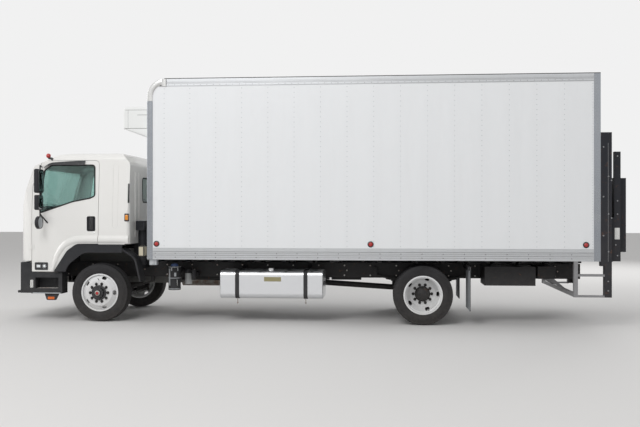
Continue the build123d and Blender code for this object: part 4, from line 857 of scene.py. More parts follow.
class TRUCK_OT_wheel_fittings(bpy.types.Operator):
    """Add the wheel nuts, valves, hub covers, hub bolts and centre caps."""

    bl_idname = "truck.wheel_fittings"
    bl_label = "Wheel fittings"

    def execute(self, context):
        for name, side in SIDES:
            self.make("front", name, side, FRONT_AXLE, "front_wheel_" + name)
            self.make("rear", name, side, REAR_AXLE, "rear_wheels_" + name)
            centre = (0, side * abs(FRONT_AXLE[1]) / MM, FRONT_AXLE[2] / MM)
            cap = turned(outward_rings(CAP_RINGS, side), centre, 32)
            fitting("hub_cap_front_" + name, "front_wheel_" + name, "red lens", cap)
            rim = turned(outward_rings(CAP_RIM_RINGS, side), centre, 40)
            fitting("hub_ring_front_" + name, "front_wheel_" + name, "zinc bolt", rim)
        return {"FINISHED"}

    def make(self, end, name, side, axle, body):
        """Nuts, hub cover and hub bolts of one wheel, and the valve of a front one."""
        centre = np.array([(axle[0] - FRONT_AXLE[0]) / MM, side * abs(axle[1]) / MM, axle[2] / MM])
        face = NUT_FACE[end]
        nuts = copied(wheel_nut(side), around_axle(BOLT_CIRCLE, NUTS, side * face, NUT_START) + centre)
        fitting("nuts_" + end + "_" + name, body, "chassis paint", nuts)
        if end == "front":
            stem = copied(valve(side, face), [centre])
            fitting("valve_" + end + "_" + name, body, "seal rubber", stem)
        cover = turned(outward_rings(HUB_RINGS[end], side, 0.5), centre, 60)
        bolt, circle, along, count = HUB_BOLTS[end]
        bolts = copied(hexagon(bolt, 9, side), around_axle(circle, count, side * along) + centre)
        fitting("hub_cover_" + end + "_" + name, body, HUB_COVER_FINISH[end], cover, bolts)


# Body fittings

CORNER_RADIUS = 275
POST_WIDTH = 91
POST_HEIGHT = BODY_HIGH[2] - CORNER_RADIUS - BODY_LOW[2]
CORNER_ARC = CORNER_RADIUS * math.pi / 2
CASTING_START = 70
RAIL_SHADES = (36, 66, 96, 120)
RAIL_RIBS = (2, 74, 128)
RAIL_BOLT_ROWS = (38, 98)
TOP_SHADES = (62, 78, 114)
TOP_RIVET_ROW = 96
TOP_RIVET_PITCH = 101.6
SEAM_PITCH = 1219
MARKER_HEIGHT = 1240
MARKER_RADIUS = 33
TAIL_HEIGHT = 1087
TAIL_WIDTHS = (875, 965, 1055)
TOP_LAMP_WIDTHS = (-150, 0, 150)
FRONT_MARKER = (1190, 3535)
STEP_LAMP = (-806, 1110, 363)
DOOR_FACE = 7680
DOOR_FOOT = 1165
DOOR_PANEL = 306
DOOR_HALF = 1160


def wall_rivets(sizes):
    """Rivet heads in columns at the posts, with a closer column at the rear post; their grey is the alloy's
    own colour, made a little darker as painted shade so the small heads show as dark dots.
    """
    low, high = WALL_LOW[2] + 30, WALL_HIGH[2] - 30
    columns = np.arange(BODY_LOW[0] + 270, BODY_HIGH[0] - 150, sizes.post_pitch / MM)
    head = dome(sizes.rivet_radius / MM, 2.6, 1)
    places = grid_places(columns, [WALL_HIGH[1]], np.arange(low, high, sizes.rivet_pitch / MM))
    close = grid_places([BODY_HIGH[0] - 16], [WALL_HIGH[1]], np.arange(low, high, 40))
    return both(copied(head, np.concatenate([places, close])))


def rail_bolts(sizes):
    """Two rows of bolt heads along the bottom rail and one row of rivets along the top rail."""
    x = np.arange(BODY_LOW[0] + 130, BODY_HIGH[0] - 60, sizes.bolt_pitch / MM)
    rows = [BODY_LOW[2] + row for row in RAIL_BOLT_ROWS]
    bolts = copied(dome(9, 4, 1, around=10), grid_places(x, [BODY_HIGH[1]], rows))
    x = np.arange(BODY_LOW[0] + CORNER_RADIUS + 60, BODY_HIGH[0] - 60, TOP_RIVET_PITCH)
    rivets = copied(dome(5.5, 2.4, 1), grid_places(x, [BODY_HIGH[1]], [BODY_HIGH[2] - TOP_RIVET_ROW]))
    return both(bolts, rivets)


def corner_skin(first, last):
    """Part of the bright post skin: a shallow D section carried up the front post and round the corner.

    The path is measured along the outer edge, so that 0 is the post's foot and the corner a quarter circle.
    """
    place = np.linspace(first, last, 3 if last <= POST_HEIGHT else 32)
    turn = np.clip((place - POST_HEIGHT) / CORNER_ARC, 0, 1) * math.pi / 2
    beyond = np.maximum(place - POST_HEIGHT - CORNER_ARC, 0)[:, None]
    centre = (BODY_LOW[0] + CORNER_RADIUS, BODY_LOW[2] + POST_HEIGHT)
    depth = np.linspace(1, POST_WIDTH - 1, 10)
    lift = 8 * np.sin(np.pi * (depth - 1) / (POST_WIDTH - 2)) ** 0.6
    depth = np.concatenate([depth, [POST_WIDTH - 1, 1]])
    lift = np.concatenate([lift + 0.5, [-2, -2]])
    reach = CORNER_RADIUS - depth[None]
    x = centre[0] - reach * np.cos(turn)[:, None] + beyond
    foot = np.where(place < POST_HEIGHT, BODY_LOW[2] + place, centre[1])[:, None]
    z = foot + reach * np.sin(turn)[:, None]
    points = np.stack([x, np.broadcast_to(BODY_HIGH[1] + lift, x.shape), z], -1)
    return points.reshape(-1, 3), tube_faces(len(place), len(depth))


def rail_strips(start, heights, height, lift, bevel):
    """Rounded strips along both sides at the given heights, standing a little out of the rails."""
    x = (start, BODY_HIGH[0])
    y = (BODY_HIGH[1] - 3, BODY_HIGH[1] + lift)
    return both(*(bevelled(x, y, (z, z + height), bevel) for z in heights))


def rail_lines():
    """Shadow lines drawn along the bottom and top rails between their ribs."""
    bottom = [BODY_LOW[2] + row for row in RAIL_SHADES]
    top = [BODY_HIGH[2] - row for row in TOP_SHADES]
    lines = rail_strips(BODY_LOW[0] + POST_WIDTH, bottom, 4, 0.7, 1)
    return lines + rail_strips(BODY_LOW[0] + CORNER_RADIUS, top, 4, 0.7, 1)


def roof_edge():
    """Dark strip along each upper edge."""
    x = (BODY_LOW[0] + CORNER_RADIUS, BODY_REAR)
    y = (BODY_HIGH[1] - 33, BODY_HIGH[1] + 2)
    return both(bevelled(x, y, (BODY_HIGH[2] - 3, BODY_HIGH[2] + 8), 3))


def roof_seams():
    """Lapped seams across the roof sheet, each with a row of rivets."""
    x = np.arange(BODY_LOW[0] + 1260, BODY_HIGH[0] - 300, SEAM_PITCH)
    seam = bevelled((-22, 22), (-BODY_HIGH[1] + 45, BODY_HIGH[1] - 45), (-1, 2.5), 1)
    y = np.arange(-1200, 1201, 80)
    rivets = copied(dome(5.5, 2.4, 1, "z"), grid_places(x, y, [BODY_HIGH[2] + 2.4]))
    return [copied(seam, grid_places(x, [0], [BODY_HIGH[2]])), rivets]


def corner_castings():
    """Bright castings round the upper front corners, each with a collar where the top rail starts."""
    end = BODY_LOW[0] + CORNER_RADIUS + 29
    y = (BODY_HIGH[1] - 4, BODY_HIGH[1] + 10)
    collar = bevelled((end - 72, end), y, (BODY_HIGH[2] - 120, BODY_HIGH[2] - 2), 5)
    skin = corner_skin(POST_HEIGHT - CASTING_START + 2, POST_HEIGHT + CORNER_ARC + 24)
    line_y = (BODY_HIGH[1] - 4, BODY_HIGH[1] + 5)
    joint = bevelled((end, end + 5), line_y, (BODY_HIGH[2] - 118, BODY_HIGH[2] - 2), 1)
    return both(skin, collar), both(joint)


def ridged_lens(width, height, depth, ridges, surface):
    """Lens whose height waves across its width: a cosine of so many ridges on a rounded rectangle."""
    u = np.linspace(-width / 2, width / 2, ridges * 4 + 1)
    v = np.linspace(-height / 2, height / 2, 7)
    fall = 1 - np.abs(2 * v / height) ** 6
    edge = np.minimum(1, fall[:, None] * (1 - np.abs(2 * u / width) ** 10)[None])
    lift = depth * edge * (0.85 + 0.15 * np.cos(2 * np.pi * ridges * u / width))[None]
    u, v = np.meshgrid(u, v)
    top = surface(u, v, lift)
    floor = surface(u, v, np.full_like(u, -2.0))
    rows, columns = u.shape
    count = rows * columns
    rim = np.concatenate([
        np.arange(columns), np.arange(1, rows) * columns + columns - 1,
        count - 2 - np.arange(columns - 1), (np.arange(rows - 2)[::-1] + 1) * columns,
    ])
    beside = np.roll(rim, -1)
    sheet = grid_faces(rows, columns)
    walls = np.stack([rim, beside, beside + count, rim + count], -1)
    faces = sheet.tolist() + (sheet[:, ::-1] + count).tolist() + walls[:, ::-1].tolist()
    return np.concatenate([top.reshape(-1, 3), floor.reshape(-1, 3)]), faces


def round_lens(radius, depth):
    """Round lens with three concentric ridges, standing along Y: a quarter circle and a cosine."""
    share = np.linspace(1, 0.08, 14)
    ridge = 0.5 + 0.5 * np.cos(6 * np.pi * share)
    lift = depth * np.sqrt(1 - share**2 * 0.96) + 0.9 * ridge
    rings = np.stack([np.concatenate([[-2], lift]), radius * np.concatenate([[1], share])], -1)
    return turned(rings, (0, 0, 0), 28)


def lamp_ring(radius, width, depth, axis="y"):
    """Round bezel: a low half-round band about a lens."""
    outer = radius + width
    top = (depth, radius + width * 0.6)
    rings = [(-1, outer), (depth * 0.7, outer), top, (depth, radius), (-1, radius - 1)]
    return turned(rings, (0, 0, 0), 32, axis)


def body_lamp_parts():
    """Bezels and lenses of the side markers, tail lamps, top lamps and step lamps, as lists by finish."""
    stations = [BODY_LOW[0] + 150, (BODY_LOW[0] + BODY_REAR) / 2 + 28, BODY_REAR - 212]
    sides = grid_places(stations, [WALL_HIGH[1]], [MARKER_HEIGHT])
    black = both(copied(lamp_ring(MARKER_RADIUS, 14, 9), sides))
    red = both(copied(round_lens(MARKER_RADIUS, 13), sides))
    rear = on_rear(BODY_REAR)
    tails = grid_places([0], TAIL_WIDTHS, [TAIL_HEIGHT])
    black += both(copied(plate((-43, 43), (-39, 39), 12, [(0, -1), (0, 9), (5, 11)], rear), tails))
    tail_lens = ridged_lens(72, 64, 18, 6, rear)
    clear = both(copied(tail_lens, tails[:1]))
    red += both(copied(tail_lens, tails[1:]))
    top = grid_places([BODY_REAR], TOP_LAMP_WIDTHS, [BODY_HIGH[2] - 60])
    black.append(copied(lamp_ring(25, 8, 7, "x"), top))
    red.append(copied(turned([(-1, 25), (8, 24), (13, 16), (15, 6)], (0, 0, 0), 24, "x"), top))
    x, y, z = STEP_LAMP
    step = on_side(y, 1)
    black += both(plate((x - 67, x + 67), (z - 33, z + 33), 10, [(0, -3), (0, 4), (4, 6)], step))
    orange = both(copied(ridged_lens(116, 50, 17, 8, step), [(x, 0, z)]))
    front = grid_places([BODY_LOW[0]], [-FRONT_MARKER[0], FRONT_MARKER[0]], [FRONT_MARKER[1]])
    amber = [copied(turned([(2, 20), (-9, 19), (-14, 12), (-15, 5)], (0, 0, 0), 20, "x"), front)]
    return black, red, clear, orange, amber


def door_bolts():
    """Round bolt heads where the hinges and rollers are fixed through the roll-up door's panels."""
    joints = DOOR_FOOT + DOOR_PANEL * np.arange(1, 8)
    widths = [-1100, -900, -450, 0, 450, 900, 1100]
    places = grid_places([DOOR_FACE], widths, np.concatenate([joints - 32, joints + 32]))
    return copied(dome(7, 3, 1, "x"), places)


def door_seals():
    """Rubber along the roll-up door's foot and up both its sides."""
    x = (DOOR_FACE - 2, DOOR_FACE + 10)
    foot = bevelled(x, (-DOOR_HALF, DOOR_HALF), (DOOR_FOOT + 1, DOOR_FOOT + 27), 4)
    side = bevelled(x, (DOOR_HALF - 10, DOOR_HALF + 3), (DOOR_FOOT + 1, 3612), 4)
    return [foot, *both(side)]


class TRUCK_OT_body_fittings(bpy.types.Operator):
    """Add the rivets, bolts, bright corner skins, roof edges, lamps and door fittings of the body."""

    bl_idname = "truck.body_fittings"
    bl_label = "Body fittings"

    def execute(self, context):
        sizes = context.scene.truck_sizes
        fitting("wall_rivets", "chassis", "rivet alloy", *wall_rivets(sizes))
        fitting("rail_bolts", "chassis", "rail shade", *rail_bolts(sizes))
        post = corner_skin(3, POST_HEIGHT - CASTING_START - 2)
        fitting("post_skins", "chassis", "post alloy", *both(post))
        castings, joints = corner_castings()
        fitting("corner_castings", "chassis", "bright casting", *castings)
        fitting("corner_joints", "chassis", "rail shade", *joints)
        fitting("rail_lines", "chassis", "rail shade", *rail_lines())
        rib_heights = [BODY_LOW[2] + row for row in RAIL_RIBS]
        ribs = rail_strips(BODY_LOW[0] + POST_WIDTH, rib_heights, 12, 3, 3)
        fitting("rail_ribs", "chassis", "body extrusion", *ribs)
        foot = bevelled((832, 948), (1140, 1255), (905, 994), 10)
        foot_cap = bevelled((868, 912), (1256, 1268), (918, 980), 4)
        fitting("corner_feet", "chassis", "rivet alloy", *both(foot, foot_cap))
        fitting("roof_edges", "chassis", "seal rubber", *roof_edge())
        fitting("roof_seams", "chassis", "body sheet", *roof_seams())
        black, red, clear, orange, amber = body_lamp_parts()
        bezels = fitting("lamp_bezels", "chassis", "black gloss", *black)
        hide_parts("body_lamps")
        fitting("red_lenses", "chassis", "red lens", *red)
        fitting("reverse_lenses", "chassis", "clear lens", *clear)
        fitting("step_lenses", "chassis", "orange lens", *orange)
        fitting("front_markers", "chassis", "amber lens", *amber)
        fitting("door_bolts", "chassis", "rivet alloy", door_bolts())
        fitting("door_seals", "chassis", "seal rubber", *door_seals())
        return {"FINISHED"}


# Cooling unit

UNIT_SIDE = (345, 806)
UNIT_SIDE_HEIGHTS = (3072, 3368)
UNIT_SIDE_LINES = (386, 697)
UNIT_LOUVRE_HEIGHT = 3288


class TRUCK_OT_unit_fittings(bpy.types.Operator):
    """Add the cooling unit's seams, louvre lines, latches and screws."""

    bl_idname = "truck.unit_fittings"
    bl_label = "Cooling unit fittings"

    def execute(self, context):
        half = node_box("refrigeration_unit")[1][1]
        y = (half - 2, half + 0.8)
        foot, head = UNIT_SIDE_HEIGHTS
        front, back = UNIT_SIDE_LINES
        dark = both(
            bevelled(UNIT_SIDE, y, (foot, foot + 6), 1),
            bevelled((back, back + 4), y, (foot + 8, head + 2), 1),
            bevelled((front, front + 3), y, (foot + 8, head + 2), 1),
            bevelled(UNIT_SIDE, y, (head, head + 4), 1),
            bevelled((540, back), y, (UNIT_LOUVRE_HEIGHT, UNIT_LOUVRE_HEIGHT + 5), 1),
        )
        dark.append(bevelled((302, 306), (-860, 860), (foot, foot + 6), 1))
        fitting("unit_seams", "chassis", "seal rubber", *dark)
        latch = plate((-14, 14), (-24, 24), 6, [(0, -1), (0, 4), (4, 8), (8, 9)], on_side(half, 1))
        latches = both(copied(latch, [(760, 0, 3200)]))
        screws = both(copied(dome(6, 3, 1), grid_places([330, 470, 610, 780], [half], [3095, 3350])))
        fitting("unit_latches", "chassis", "unit skin", *latches, *screws)
        return {"FINISHED"}


# Cab fittings

CAB_HALF = 1130
EAVES_START = 1680
EAVES_LEAN = 68.0 / 988.0
SEAL_SECTION = ([14, 12, -8, -10], [-12, 4, 4, -4])
SCREEN = [(-1000, 1835, 70), (1000, 1835, 70), (955, 2440, 80), (-955, 2440, 80)]
WINDOW = [
    (-985, 1722, 22), (-458, 1900, 200), (-170, 1956, 60), (-96, 1992, 40),
    (-106, 2479, 45), (-815, 2479, 90), (-925, 2400, 60), (-978, 2085, 60),
]
VISOR_FOOT = [(-935, 2436), (-860, 2474), (-700, 2484), (-262, 2482)]
VISOR_HEAD = [(-938, 2452), (-850, 2512), (-700, 2534), (-258, 2556)]
SWELL_FOOT = [
    (-742, 800), (-690, 930), (-622, 1085), (-530, 1172), (-410, 1218), (-250, 1230), (-38, 1231),
]
SWELL_HEAD = [
    (-800, 800), (-775, 960), (-712, 1120), (-600, 1262), (-440, 1345), (-250, 1362), (-38, 1362),
]
SIDE_SWELL = ((-29, 456), (1231, 1362))
HANDLE_TRAY = ((-210, -86), (1436, 1659))
HANDLE_PADDLE = ((-180, -116), (1448, 1647))
TURN_LAMP_HEIGHT = 872.5
TURN_LENS = -1003
TURN_ROUND = -908
CORNER_LAMP = (431, 1647.5)
BALL = (-877, -1050, 2635)
BALL_RADIUS = 38


def cab_side(x, z, lift):
    """Points on the cab's right side: upright to the waist, then leaning in; lift raises them off it."""
    return np.stack([x, CAB_HALF - EAVES_LEAN * np.maximum(z - EAVES_START, 0) + lift, z], -1)


def screen_face(y, z, lift):
    """Points on the windscreen's plane, which leans back as it rises."""
    return np.stack([-1315 + (z - 1804) * 210 / 666 - lift, y, z], -1)


def level_line(points, steps=6):
    """Smooth line through (station, height) pairs."""
    return smooth_line(np.pad(np.asarray(points, float), ((0, 0), (0, 1))), steps)


def bowed_strip(lower, upper, bow, back):
    """Closed strip on the cab's side between two curves.

    Its front and rear faces have the lifts bow and back, at even steps from one curve to the other.
    """
    share = np.linspace(0, 1, len(bow))[None, :, None]
    face = lower[:, None] * (1 - share) + upper[:, None] * share
    shape = face.shape[:2]
    front = cab_side(face[..., 0], face[..., 1], np.broadcast_to(bow, shape))
    rear = cab_side(face[..., 0], face[..., 1], np.broadcast_to(back, shape))[:, ::-1]
    points = np.concatenate([front, rear], 1)
    return points.reshape(-1, 3), tube_faces(points.shape[0], points.shape[1])


def rain_visor():
    """Smoked visor over a door window: a thin strip that stands out most at its foot."""
    bow = 26 * (1 - np.linspace(0, 1, 7)) ** 0.7 + 5
    return bowed_strip(level_line(VISOR_FOOT, 5), level_line(VISOR_HEAD, 5), bow, bow - 4)


def arch_swell(lower, upper):
    """Swelling over the wheel arch: a strip that bows out by a power of a sine, highest in its middle."""
    bow = 22 * np.sin(np.pi * np.linspace(0, 1, 11)) ** 0.8 + 0.4
    return bowed_strip(lower, upper, bow, np.full_like(bow, -3.0))


def handle_parts():
    """Handle tray with its lip, and its paddle."""
    lip = outline_frame(rectangle(*HANDLE_TRAY, 16), [-4, -4, 7, 8], [-13, 2.5, 2.5, -1], cab_side)
    tray = plate(*HANDLE_TRAY, 16, [(0, -15.5), (0, -13), (1, -13)], cab_side)
    paddle = plate(*HANDLE_PADDLE, 10, [(0, -14), (0, -2), (4, 2), (12, 3.5)], cab_side)
    return lip, tray, paddle


def wiper(side):
    """Wiper arm and blade, parked low across the windscreen, and its pivot cap."""
    widths = side * np.array([60, 120, 300])
    arm = screen_face(widths, np.array([1812, 1830, 1862]), np.array([14, 24, 20]))
    blade_y = np.linspace(side * 40, side * 560, 12) + side * 60
    blade = screen_face(blade_y, 1858 + 12 * np.linspace(-1, 1, 12) ** 2, np.full(12, 9.0))
    pivot = turned([(0, 18), (-18, 18), (-24, 12)], screen_face(side * 60.0, 1806.0, 2.0), 18, "x")
    return [tube(smooth_line(arm), 5.5), tube(blade, 6), pivot]


def on_one_side(side, parts):
    """Parts of the right side, or their mirror images on the left."""
    return [(np.asarray(points) * (1, side, 1), faces) for points, faces in parts]


class TRUCK_OT_cab_fittings(bpy.types.Operator):
    """Add the seals, visors, handles, side lamps, wipers, grille backing and step treads of the cab."""

    bl_idname = "truck.cab_fittings"
    bl_label = "Cab fittings"

    def execute(self, context):
        stations, heights = SIDE_SWELL
        low_line, high_line = (np.array([(x, z, 0) for x in stations]) for z in heights)
        fitting("side_swells", "cab", "cab paint", *both(arch_swell(low_line, high_line)))
        seal = outline_frame(rounded_path(WINDOW), *SEAL_SECTION, cab_side)
        lip, tray, paddle = handle_parts()
        bezel = plate((-1066, -851), (812, 933), 16, [(0, -1), (0, 8), (4, 11), (10, 11)], cab_side)
        lens = ridged_lens(
            78, 60, 16, 6, lambda u, v, lift: cab_side(u + TURN_LENS, v + TURN_LAMP_HEIGHT, lift)
        )
        round_place = [(TURN_ROUND, CAB_HALF, TURN_LAMP_HEIGHT)]
        lock = turned([(0, 11), (5, 11), (6, 9), (6, 3)], (-98, CAB_HALF, 1405), 20)
        pieces = (
            ("door_swell_", "cab paint", [arch_swell(level_line(SWELL_FOOT), level_line(SWELL_HEAD))]),
            ("window_seal_", "seal rubber", [seal]),
            ("rain_visor_", "black gloss", [rain_visor()]),
            ("door_handle_", "dark plastic", [lip, tray]),
            ("handle_paddle_", "black gloss", [paddle]),
            ("door_lock_", "chrome", [lock]),
            ("turn_bezel_", "black gloss", [bezel]),
            ("turn_lens_", "clear lens", [lens, copied(round_lens(29, 15), round_place)]),
            ("turn_ring_", "chrome", [copied(lamp_ring(30, 6, 14), round_place)]),
        )
        for name, side in SIDES:
            for title, material, parts in pieces:
                fitting(title + name, "door_" + name, material, *on_one_side(side, parts))
        self.front()
        self.steps()
        self.corners()
        return {"FINISHED"}

    def front(self):
        """Windscreen and back window seals, wipers, and the dark backing of the grille."""
        screen = outline_frame(rounded_path(SCREEN), *SEAL_SECTION, screen_face)
        pane = outline_frame(rectangle((-420, 420), (1900, 2300), 60, 6), *SEAL_SECTION, on_rear(470))
        fitting("screen_seals", "cab", "seal rubber", screen, pane)
        fitting("wipers", "cab", "black gloss", *wiper(-1), *wiper(1))
        backing = bevelled((-1299, -1294), (-540, 540), (1140, 1500), 2)
        fitting("grille_backing", "cab", "seal rubber", backing)

    def steps(self):
        """Alloy edges, grip treads and side reflectors of the step boxes."""
        edge = bevelled((-1100, -640), (CAB_HALF + 6, CAB_HALF + 12), (437, 451), 3)
        fitting("step_edges", "chassis", "rivet alloy", *both(edge))
        reflector = plate((-1140, -1092), (528, 652), 10, [(0, -2), (0, 9), (6, 13), (14, 13)], cab_side)
        fitting("side_reflectors", "chassis", "blank label", *both(reflector))
        treads = grid_places([0], 999 + 28 * np.arange(5), [521, 776])
        tread = bevelled((-1036, -704), (-4, 4), (-2, 3), 2)
        fitting("step_treads", "chassis", "zinc bolt", *both(copied(tread, treads)))

    def corners(self):
        """Rear corner lamps with their bezels and vents, and the ball lamp on its stalk."""
        bezel = plate((394, 468), (1585, 1710), 12, [(0, -2), (0, 5), (4, 8), (10, 8)], cab_side)
        vent = plate((442, 470), (1876, 2184), 8, [(0, -2), (0, 4), (4, 6)], cab_side)
        dark = fitting("corner_bezels", "cab", "black gloss", *both(bezel, vent))
        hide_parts("cab_lamps")
        x, z = CORNER_LAMP
        lens = ridged_lens(54, 102, 15, 4, lambda u, v, lift: cab_side(u + x, v + z, lift))
        fitting("corner_lenses", "cab", "amber lens", *both(lens))
        rise = np.linspace(-0.97, 0.97, 25)
        radius = (BALL_RADIUS - 0.5) * np.sqrt(1 - rise**2) + 0.5 * np.cos(rise * 40)
        ball = np.stack([BALL_RADIUS * rise, radius], -1)
        fitting("marker_ball", "cab", "red lens", turned(ball, BALL, 32, "z"))
        foot = [(0, 0, -25), (19, 0, -41), (49, 0, -49), (80, 0, -64)]
        stalk = smooth_line(np.add(BALL, foot))
        stem = tube(stalk, np.linspace(17, 27, len(stalk)), (0, 1, 0), 16)
        fitting("marker_stalk", "cab", "black gloss", stem)


# Mirrors and headlamps

MIRROR_GLASSES = (((1258, 1432), (2049, 2389), 34, -872), ((1266, 1424), (1781, 1984), 30, -880))
GLASS_RINGS = [(0, -3), (0, 2), (8, 3.2), (30, 4.6), (60, 5.4)]
ROUND_MIRROR = (-885, 1340, 1567)
LAMP_REACH = 72


def mirror_parts():
    """Silvered glasses as shallow bowed plates, and the dark lips round them."""
    silver = []
    dark = []
    for widths, heights, radius, place in MIRROR_GLASSES:
        outline = rectangle(widths, heights, radius, 6)
        silver.append(raised(outline, GLASS_RINGS, on_rear(place)))
        dark.append(outline_frame(outline, [9, 8, 1, 0], [-3, 6, 6, -3], on_rear(place)))
    bowl = [(-3, 86), (4, 86), (9, 72), (13, 48), (15, 20), (15.4, 6)]
    silver.append(turned(bowl, ROUND_MIRROR, 36, "x"))
    lip = [(-4, 97), (6, 97), (8, 92), (6, 87), (-4, 87)]
    dark.append(turned(lip, ROUND_MIRROR, 36, "x"))
    return silver, dark


def lamp_face(y, z, lift):
    """Points on the bumper's bowed front, whose station goes with the fourth power of the width."""
    return np.stack([-1420 + 128 * (y / CAB_HALF) ** 4 - lift, y, z], -1)


class TRUCK_OT_mirror_glasses(bpy.types.Operator):
    """Add the silvered glasses of the mirrors, each a shallow bowed plate in a dark lip."""

    bl_idname = "truck.mirror_glasses"
    bl_label = "Mirror glasses"

    def execute(self, context):
        silver, dark = mirror_parts()
        for name, side in SIDES:
            body = "door_" + name
            fitting("mirror_glasses_" + name, body, "mirror silver", *on_one_side(side, silver))
            fitting("mirror_lips_" + name, body, "black gloss", *on_one_side(side, dark))
        return {"FINISHED"}


class TRUCK_OT_headlamp_fittings(bpy.types.Operator):
    """Add the headlamps' reflector bowls and dark surrounds."""

    bl_idname = "truck.headlamp_fittings"
    bl_label = "Headlamp fittings"

    def execute(self, context):
        low, high = node_box("headlamps")
        y = high[1] - LAMP_REACH
        z = (low[2] + high[2]) / 2
        outline = rectangle((y - 66, y + 66), (z - 74, z + 74), 18)
        surround = outline_frame(outline, [5, 4, -6, -7], [-4, 4, 4, -4], lamp_face)
        bowl = rectangle((y - 50, y + 50), (z - 58, z + 42), 48, 8)
        bright = raised(bowl, [(0, -2), (0, 3), (5, 5), (9, 2), (26, 1.5), (40, 2.6)], lamp_face)
        fitting("headlamp_surrounds", "chassis", "black gloss", *both(surround))
        fitting("headlamp_bowls", "chassis", "chrome", *both(bright))
        return {"FINISHED"}


# Inside of the cab

SEATS = (("driver", -560, 250), ("passenger", 430, 470))
BACK_LEAN = math.radians(9)
PAD_VOXEL = 0.013
PAD_PUFF = 0.022
PAD_HALF_DEPTH = 0.04
CLOTH_FRAMES = 20
SEAM_SHARES = (-0.6, -0.2, 0.2, 0.6)
SEAM_WIDTH = 0.012
VENT_WIDTHS = (-900, -260, 260, 900)
DIAL_WIDTHS = (-650, -480)


def superellipse(centre, size, power, rows=14, columns=40):
    """Cushion form: a superellipse in plan carried up a superellipse in height."""
    rise = np.linspace(-0.96, 0.96, rows)
    turn = np.linspace(0, 2 * np.pi, columns, endpoint=False)
    shrink = (1 - np.abs(rise) ** power) ** (1 / power)
    cosine, sine = np.cos(turn), np.sin(turn)
    plan = (np.abs(cosine) ** power + np.abs(sine) ** power) ** (-1 / power)
    x = shrink[:, None] * (plan * cosine)[None] * size[0] / 2
    y = shrink[:, None] * (plan * sine)[None] * size[1] / 2
    z = np.broadcast_to((rise * size[2] / 2)[:, None], x.shape)
    return np.stack([x, y, z], -1).reshape(-1, 3) + centre, tube_faces(rows, columns)


def leaned(points, pivot, angle):
    """Points turned back about a line across the cab."""
    x, y, z = (np.asarray(points, float) - pivot).T
    cosine, sine = math.cos(angle), math.sin(angle)
    return np.stack([x * cosine + z * sine, y, z * cosine - x * sine], -1) + pivot


def puffed(piece):
    """Blows a closed mesh up as cloth with a little pressure, and caps how far each point may move."""
    remesh = piece.modifiers.new("remesh", "REMESH")
    remesh.mode = "VOXEL"
    remesh.voxel_size = PAD_VOXEL
    bpy.context.view_layer.objects.active = piece
    with bpy.context.temp_override(object=piece, active_object=piece, selected_objects=[piece]):
        bpy.ops.object.modifier_apply(modifier="remesh")
    mesh = piece.data
    count = len(mesh.vertices)
    start = np.empty(count * 3)
    mesh.vertices.foreach_get("co", start)
    cloth = piece.modifiers.new("cloth", "CLOTH")
    cloth.settings.use_pressure = True
    cloth.settings.uniform_pressure_force = 4
    cloth.settings.effector_weights.gravity = 0
    cloth.settings.quality = 4
    scene = bpy.context.scene
    for number in range(1, CLOTH_FRAMES + 1):
        scene.frame_set(number)
    shaped = piece.evaluated_get(bpy.context.evaluated_depsgraph_get()).data
    end = np.empty(count * 3)
    shaped.vertices.foreach_get("co", end)
    move = (end - start).reshape(-1, 3)
    length = np.maximum(np.linalg.norm(move, axis=1, keepdims=True), 1e-9)
    move *= np.minimum(1, PAD_PUFF / length)
    piece.modifiers.remove(cloth)
    scene.frame_set(1)
    mesh.vertices.foreach_set("co", start + move.reshape(-1))
    mesh.polygons.foreach_set("use_smooth", np.ones(len(mesh.polygons), bool))
    mesh.update()


def pressed_seams(piece, axis, places, depth):
    """Sewn channels: points near each seam are drawn towards the pad's middle plane by a bell curve."""
    mesh = piece.data
    points = np.empty(len(mesh.vertices) * 3)
    mesh.vertices.foreach_get("co", points)
    points = points.reshape(-1, 3)
    across = points[:, 1] - (points[:, 1].min() + points[:, 1].max()) / 2
    centre = points.mean(0)
    pull = sum(np.exp(-(((across - place) / SEAM_WIDTH) ** 2)) for place in places)
    away = points[:, axis] - centre[axis]
    points[:, axis] -= np.sign(away) * pull * depth * np.clip(np.abs(away) / PAD_HALF_DEPTH, 0, 1)
    mesh.vertices.foreach_set("co", points.reshape(-1))
    mesh.update()


class TRUCK_OT_seats(bpy.types.Operator):
    """Model the padded cushions and backs, with their sewn channels, on their pedestals."""

    bl_idname = "truck.seats"
    bl_label = "Seats"

    def execute(self, context):
        stands = []
        for title, y, half in SEATS:
            cushion = superellipse((-195, y, 1412), (440, 2 * half - 34, 118), 3.4)
            back = superellipse((95, y, 1735), (105, 2 * half - 44, 560), 3.4)
            back = (leaned(back[0], (60, y, 1460), BACK_LEAN), back[1])
            for name, form, axis, depth in (("cushion_", cushion, 2, 0.01), ("backrest_", back, 0, 0.012)):
                pad = fitting(name + title, "cab", "seat cloth", form)
                puffed(pad)
                pressed_seams(pad, axis, [share * half * MM for share in SEAM_SHARES], depth)
                smooth = pad.modifiers.new("rounding", "SUBSURF")
                smooth.levels = smooth.render_levels = 1
                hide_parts("seats")
            stands.append(bevelled((-400, 20), (y - 150, y + 150), (1248, 1352), 12))
            stands.append(bevelled((30, 60), (y - 120, y + 120), (1330, 1520), 8))
        fitting("seat_stands", "cab", "cab plastic", *stands)
        return {"FINISHED"}


